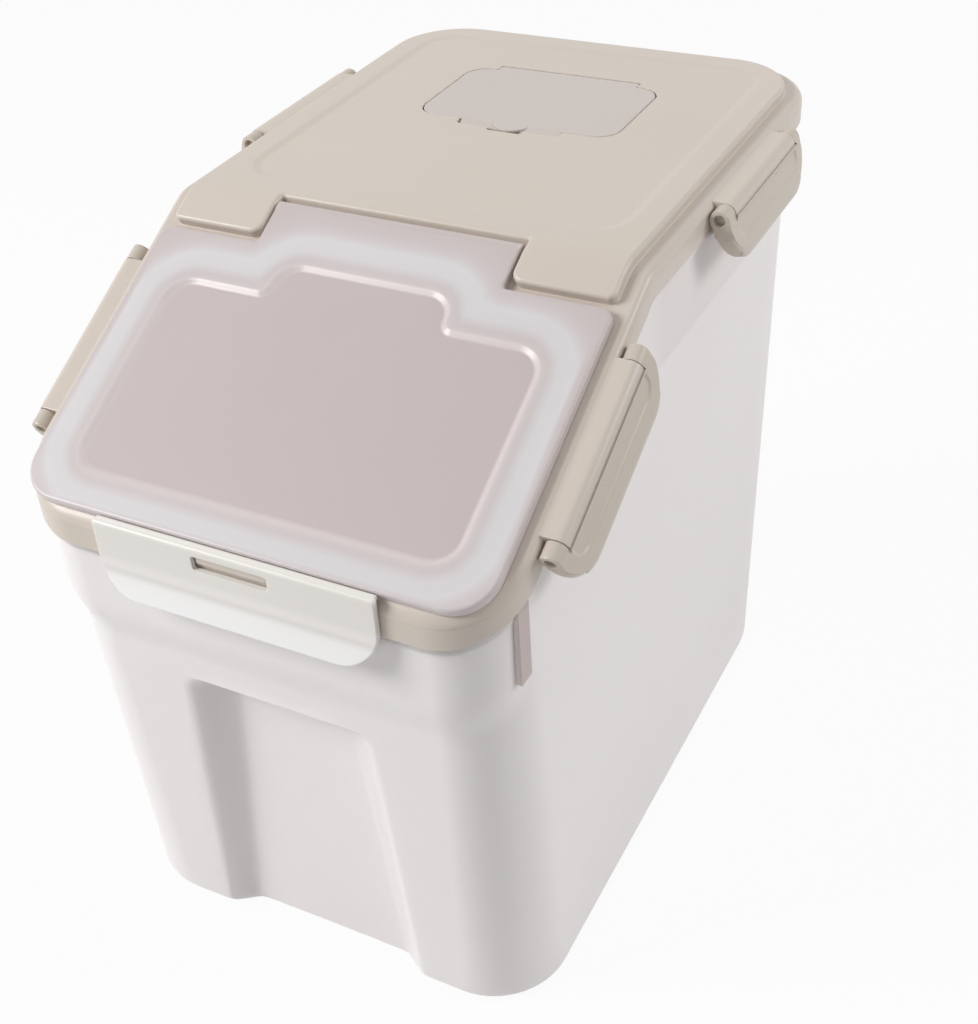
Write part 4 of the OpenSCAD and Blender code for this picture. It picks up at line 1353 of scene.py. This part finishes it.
def hook_skin(end, side):
    skin = Skin(clip_place(end, side))
    reach = HOOK_DROP * math.tan(CLIP_LEAN) + 1
    half = HOOK_L / 2
    corners = [(reach, -half, HOOK_ROOT_R), (reach, half, HOOK_ROOT_R),
        (HOOK_IN, half, HOOK_R), (HOOK_IN, -half, HOOK_R)]
    low, top = -HOOK_DROP - HOOK_H, -HOOK_DROP
    lower_edge = [(0.5, low), (0.15, low + 0.15), (0, low + 0.5)]
    foot, brow = skin.stack(corners, lower_edge + soft_edge(0.5, top, 3))
    fill(skin, foot)
    fill(skin, brow)
    return skin


# %% Make the four clips
for end in CLIP_MIDDLES:
    for side, hand in ((-1, "left"), (1, "right")):
        shell(f"{end}_{hand}_latch", [clip_skin(end, side), hook_skin(end, side)], shaded_clip_plastic,
            f"{end}_{hand}_clip", [f"clip_{end}_{hand}"])

# %% [markdown]
# ## The small door and its tray
# The small door lies flush in the sunk panel, turns on a tab at its back and has a finger tab at its
# front. Under it hangs a tray for the drying agent. The tray's floor is a row of bars, one bar
# repeated along a line, which is a job for Geometry Nodes.

# %% The small door
HATCH_SHOW, HATCH_T, HATCH_HINGE_BACK = 0.02, 2.4, 0.5
HATCH_TOP = PLATEAU_H - PANEL_DEPTH + HATCH_SHOW
HATCH_LOW = PLATEAU_H - HATCH_T


def slab(corners, low, top, place=on_lid):
    """A flat plate with a soft upper edge."""
    skin = Skin(place)
    low_ring, top_ring = skin.stack(corners, [(0.2, low), (0, low + 0.2)] + soft_edge(0.5, top, 4))
    fill(skin, low_ring, height=low)
    fill(skin, top_ring, height=top)
    return skin


hatch_plate = slab(hatch_corners(0, -HATCH_HINGE_BACK)[2:10], HATCH_LOW, HATCH_TOP)
print("small door's top above the sheet:", round(HATCH_TOP, 2), "mm")

# %% [markdown]
# The finger tab slopes down from the small door's front edge, and a round thumb lip stands out over it.
# A finger slides under the lip and lifts the door.

# %% Its finger tab and thumb lip
TAB_FALL, TAB_SHORT, TAB_ROOT = 1.4, 1.2, 2
THUMB_REACH, THUMB_ROOT, THUMB_T = 6, 5, 1.2


def falling(x, v, h):
    """Like on_lid, but lower towards the small door's front edge."""
    return on_lid(x, v, h - TAB_FALL * max(0.0, hatch_front + 0.6 - v) / FINGER_L)


tab_corners = plan(FINGER_W, hatch_front - FINGER_L + TAB_SHORT, hatch_front + TAB_ROOT, 1.5, 0.3)
lip_corners = plan(THUMB_W, hatch_front - THUMB_REACH, hatch_front + THUMB_ROOT, THUMB_W / 2 - 0.1, 0.5)
finger_tab = slab(tab_corners, HATCH_LOW, HATCH_TOP - 2 * HATCH_SHOW, falling)
thumb_lip = slab(lip_corners, HATCH_TOP - THUMB_T, HATCH_TOP - HATCH_SHOW)

# %% Its hinge rod
HATCH_ROD_R = 1.1
DRY_AXIS_BACK, DRY_AXIS_DOWN = 2.5, 1.9
DRY_AXIS_Y, DRY_AXIS_H = DRY_BACK + DRY_AXIS_BACK, PLATEAU_H - DRY_AXIS_DOWN


def round_hatch_hinge(x, y, z):
    return metres(x, DRY_AXIS_Y + y, LID_H + DRY_AXIS_H + z)


hatch_rod = rod_skin(round_hatch_hinge, DRY_TAB_W / 2 - BARREL_SHORT, HATCH_ROD_R)
shell("small_door", [hatch_plate, finger_tab, thumb_lip, hatch_rod], hatch_plastic, "hatch",
    ["desiccant_door"])


# %% The tray's bars by Geometry Nodes
def bars_tree():
    tree = new_tree("row of bars", {"Count": "NodeSocketInt", "Pitch": "NodeSocketVector",
        "Start": "NodeSocketVector", "Bar size": "NodeSocketVector", "Material": "NodeSocketMaterial"})
    given = add(tree, "NodeGroupInput")
    row = add(tree, "GeometryNodeMeshLine", {"mode": "OFFSET"},
        links={"Count": (given, "Count"), "Start Location": (given, "Start"), "Offset": (given, "Pitch")})
    bar = add(tree, "GeometryNodeMeshCube", links={"Size": (given, "Bar size")})
    placed = add(tree, "GeometryNodeInstanceOnPoints",
        links={"Points": (row, "Mesh"), "Instance": (bar, "Mesh")})
    real = add(tree, "GeometryNodeRealizeInstances", links={"Geometry": (placed, "Instances")})
    done = add(tree, "GeometryNodeSetMaterial",
        links={"Geometry": (real, "Geometry"), "Material": (given, "Material")})
    add(tree, "NodeGroupOutput", links={"Geometry": (done, "Geometry")})
    return tree


# %% Make the tray's bars
TRAY_H, TRAY_T, TRAY_SLOTS, TRAY_SLOT_W, TRAY_RIM = 24, 1.6, 9, 3, 1.5
BAR_LAP = 0.2
tray_w = DRY_W - 2 * LEDGE_W - 2 * PART_GAP
tray_front = DRY_FRONT + LEDGE_W + PART_GAP
tray_back = DRY_BACK - LEDGE_W - PART_GAP
tray_r = DRY_R - LEDGE_W - PART_GAP
tray_pitch = (tray_w - 2 * tray_r) / TRAY_SLOTS
tray_floor = LID_H + LEDGE_H - TRAY_H
bar_w = tray_pitch - TRAY_SLOT_W
bar_l = tray_back - tray_front - 2 * tray_r + 2 * BAR_LAP
first_bar = -tray_pitch * (TRAY_SLOTS - 2) / 2
bars = grown(bpy.data.objects.new("tray bars", bpy.data.meshes.new("tray bars")), bars_tree(), {
    "Count": TRAY_SLOTS - 1,
    "Pitch": metres(tray_pitch, 0, 0),
    "Start": metres(first_bar, (tray_front + tray_back) / 2, tray_floor + TRAY_T / 2),
    "Bar size": metres(bar_w, bar_l, TRAY_T),
    "Material": tray_plastic,
})
bars.name = "tray_bars"
piece("tray_bars", bars, "lid", ["desiccant_tray"])


# %% The tray's wall and rim
def tray_skin():
    skin = Skin(lambda x, y, h: metres(x, y, LID_H + LEDGE_H + h))
    rim = plan(DRY_W, DRY_FRONT, DRY_BACK, DRY_R, DRY_R)
    box = plan(tray_w, tray_front, tray_back, tray_r, tray_r)
    rim_steps = [(0, 0), (0, TRAY_RIM - 0.4), (0.12, TRAY_RIM - 0.12), (0.4, TRAY_RIM)]
    outer_steps = [(1.2, -TRAY_H), (0.35, 0.35 - TRAY_H), (0, 1.2 - TRAY_H), (0, 0)]
    inner_steps = [(TRAY_T - 0.4, TRAY_RIM), (TRAY_T, TRAY_RIM - 0.4), (TRAY_T, TRAY_T - TRAY_H)]
    under, over = skin.stack(rim, rim_steps)
    low, neck = skin.stack(box, outer_steps)
    mouth, floor = skin.stack(box, inner_steps)
    hole = plan(tray_pitch * TRAY_SLOTS - bar_w, tray_front + tray_r, tray_back - tray_r, 0.5, 0.5)
    hole_low, hole_high = skin.stack(hole, [(0, -TRAY_H), (0, TRAY_T - TRAY_H)])
    fill(skin, under, [neck])
    fill(skin, over, [mouth])
    fill(skin, low, [hole_low])
    fill(skin, floor, [hole_high])
    return skin


shell("tray_wall", [tray_skin()], tray_plastic, "lid", ["desiccant_tray"])

# %% [markdown]
# ## Rods
# The hinge rods keep their measured shape, a plain cylinder, and only get their finish.

# %% Finish the hinge rods
for name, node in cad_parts.items():
    if "_pin_" in name:
        node.data.materials.clear()
        node.data.materials.append(pin_plastic)
        print("rod:", name)

# %% [markdown]
# ## Stage, light and camera
# The bin stands on a plain pale floor in soft light from a large lamp at the upper left, a weaker one
# at the right and a faint one above. The even world fills the shadows. Seen directly, in a gloss or
# through a clear wall, the world and most of the floor are plain white, and the floor keeps a faint
# shadow so that the bin stands on something.

# %% Tell the rays that show the background
def seen_by_eye(tree):
    """1 for rays that show the background: to the camera, in a gloss or through a clear wall."""
    path = add(tree, "ShaderNodeLightPath")
    either = add(tree, "ShaderNodeMath", {"operation": "MAXIMUM"},
        links={0: (path, "Is Camera Ray"), 1: (path, "Is Glossy Ray")})
    return add(tree, "ShaderNodeMath", {"operation": "MAXIMUM"},
        links={0: (either, 0), 1: (path, "Is Transmission Ray")})


# %% Floor
FLOOR_SIZE = 14
FLOOR_GLOW = 0.93

floor_paint = bpy.data.materials.new("matt_white_backdrop")
floor_paint.use_nodes = True
tree = floor_paint.node_tree
tree.nodes.clear()
matt = add(tree, "ShaderNodeBsdfDiffuse", values={"Color": srgb("#E2E2E2")})
plain = add(tree, "ShaderNodeEmission", values={"Color": srgb("#FFFFFF"), "Strength": 1.0})
share = add(tree, "ShaderNodeMath", {"operation": "MULTIPLY"}, {1: FLOOR_GLOW}, {0: (seen_by_eye(tree), 0)})
blended = add(tree, "ShaderNodeMixShader", links={0: (share, 0), 1: (matt, 0), 2: (plain, 0)})
add(tree, "ShaderNodeOutputMaterial", links={"Surface": (blended, 0)})

floor_mesh = bpy.data.meshes.new("floor")
reach = FLOOR_SIZE / 2
floor_corners = [(-reach, -reach, 0), (reach, -reach, 0), (reach, reach, 0), (-reach, reach, 0)]
floor_mesh.from_pydata(floor_corners, [], [(0, 1, 2, 3)])
floor = bpy.data.objects.new("floor", floor_mesh)
bpy.context.scene.collection.objects.link(floor)
floor.data.materials.append(floor_paint)
print("floor:", FLOOR_SIZE, "m wide")

# %% World
FILL_LIGHT = 0.33

world = bpy.data.worlds.new("even light")
bpy.context.scene.world = world
world.use_nodes = True
tree = world.node_tree
tree.nodes.clear()
strength = add(tree, "ShaderNodeMapRange", values={"To Min": FILL_LIGHT, "To Max": 1.0},
    links={"Value": (seen_by_eye(tree), 0)})
sky = add(tree, "ShaderNodeBackground", values={"Color": srgb("#FFFFFF")}, links={"Strength": (strength, 0)})
add(tree, "ShaderNodeOutputWorld", links={"Surface": (sky, 0)})
print("fill light:", FILL_LIGHT)


# %% Lamps
LAMP_AIM = Vector((0, 0, 0.15))


def lamp(name, place, size, power):
    data = bpy.data.lights.new(name, "AREA")
    data.shape = "DISK"
    data.size = size
    data.energy = power
    made = bpy.data.objects.new(name, data)
    made.location = place
    made.rotation_euler = (LAMP_AIM - Vector(place)).to_track_quat("-Z", "Y").to_euler()
    bpy.context.scene.collection.objects.link(made)


lamp("key", (-1.4, -1.1, 1.35), 1.0, 31)
lamp("side", (1.57, 0.73, 1.15), 0.9, 14)
lamp("top", (0.3, 0.2, 2.2), 0.9, 3)
print("lamps:", [light.name for light in bpy.data.lights])

# %% Camera
# The lens, place and turn give the photographed view, with the frame 978 wide and 1024 high.
FRAME_W = 978
FOCAL_PIXELS = 1537.1
SENSOR = 36
CAMERA_PLACE = (289.5, -502.2, 552.2)
YAW, PITCH, ROLL = 0.50843, 0.63233, -0.06803

forward = Vector((-math.sin(YAW) * math.cos(PITCH), math.cos(YAW) * math.cos(PITCH), -math.sin(PITCH)))
level = forward.cross(Vector((0, 0, 1))).normalized()
lift = level.cross(forward)
right = level * math.cos(ROLL) + lift * math.sin(ROLL)
up = lift * math.cos(ROLL) - level * math.sin(ROLL)
camera_data = bpy.data.cameras.new("view")
camera_data.sensor_fit = "HORIZONTAL"
camera_data.sensor_width = SENSOR
camera_data.lens = FOCAL_PIXELS / FRAME_W * SENSOR
camera = bpy.data.objects.new("view", camera_data)
turned = Matrix((right, up, -forward)).transposed().to_4x4()
camera.matrix_world = Matrix.Translation(metres(*CAMERA_PLACE)) @ turned
bpy.context.scene.collection.objects.link(camera)
bpy.context.scene.camera = camera
bpy.context.scene.view_settings.view_transform = "Standard"
print("lens:", round(camera_data.lens, 2), "mm")
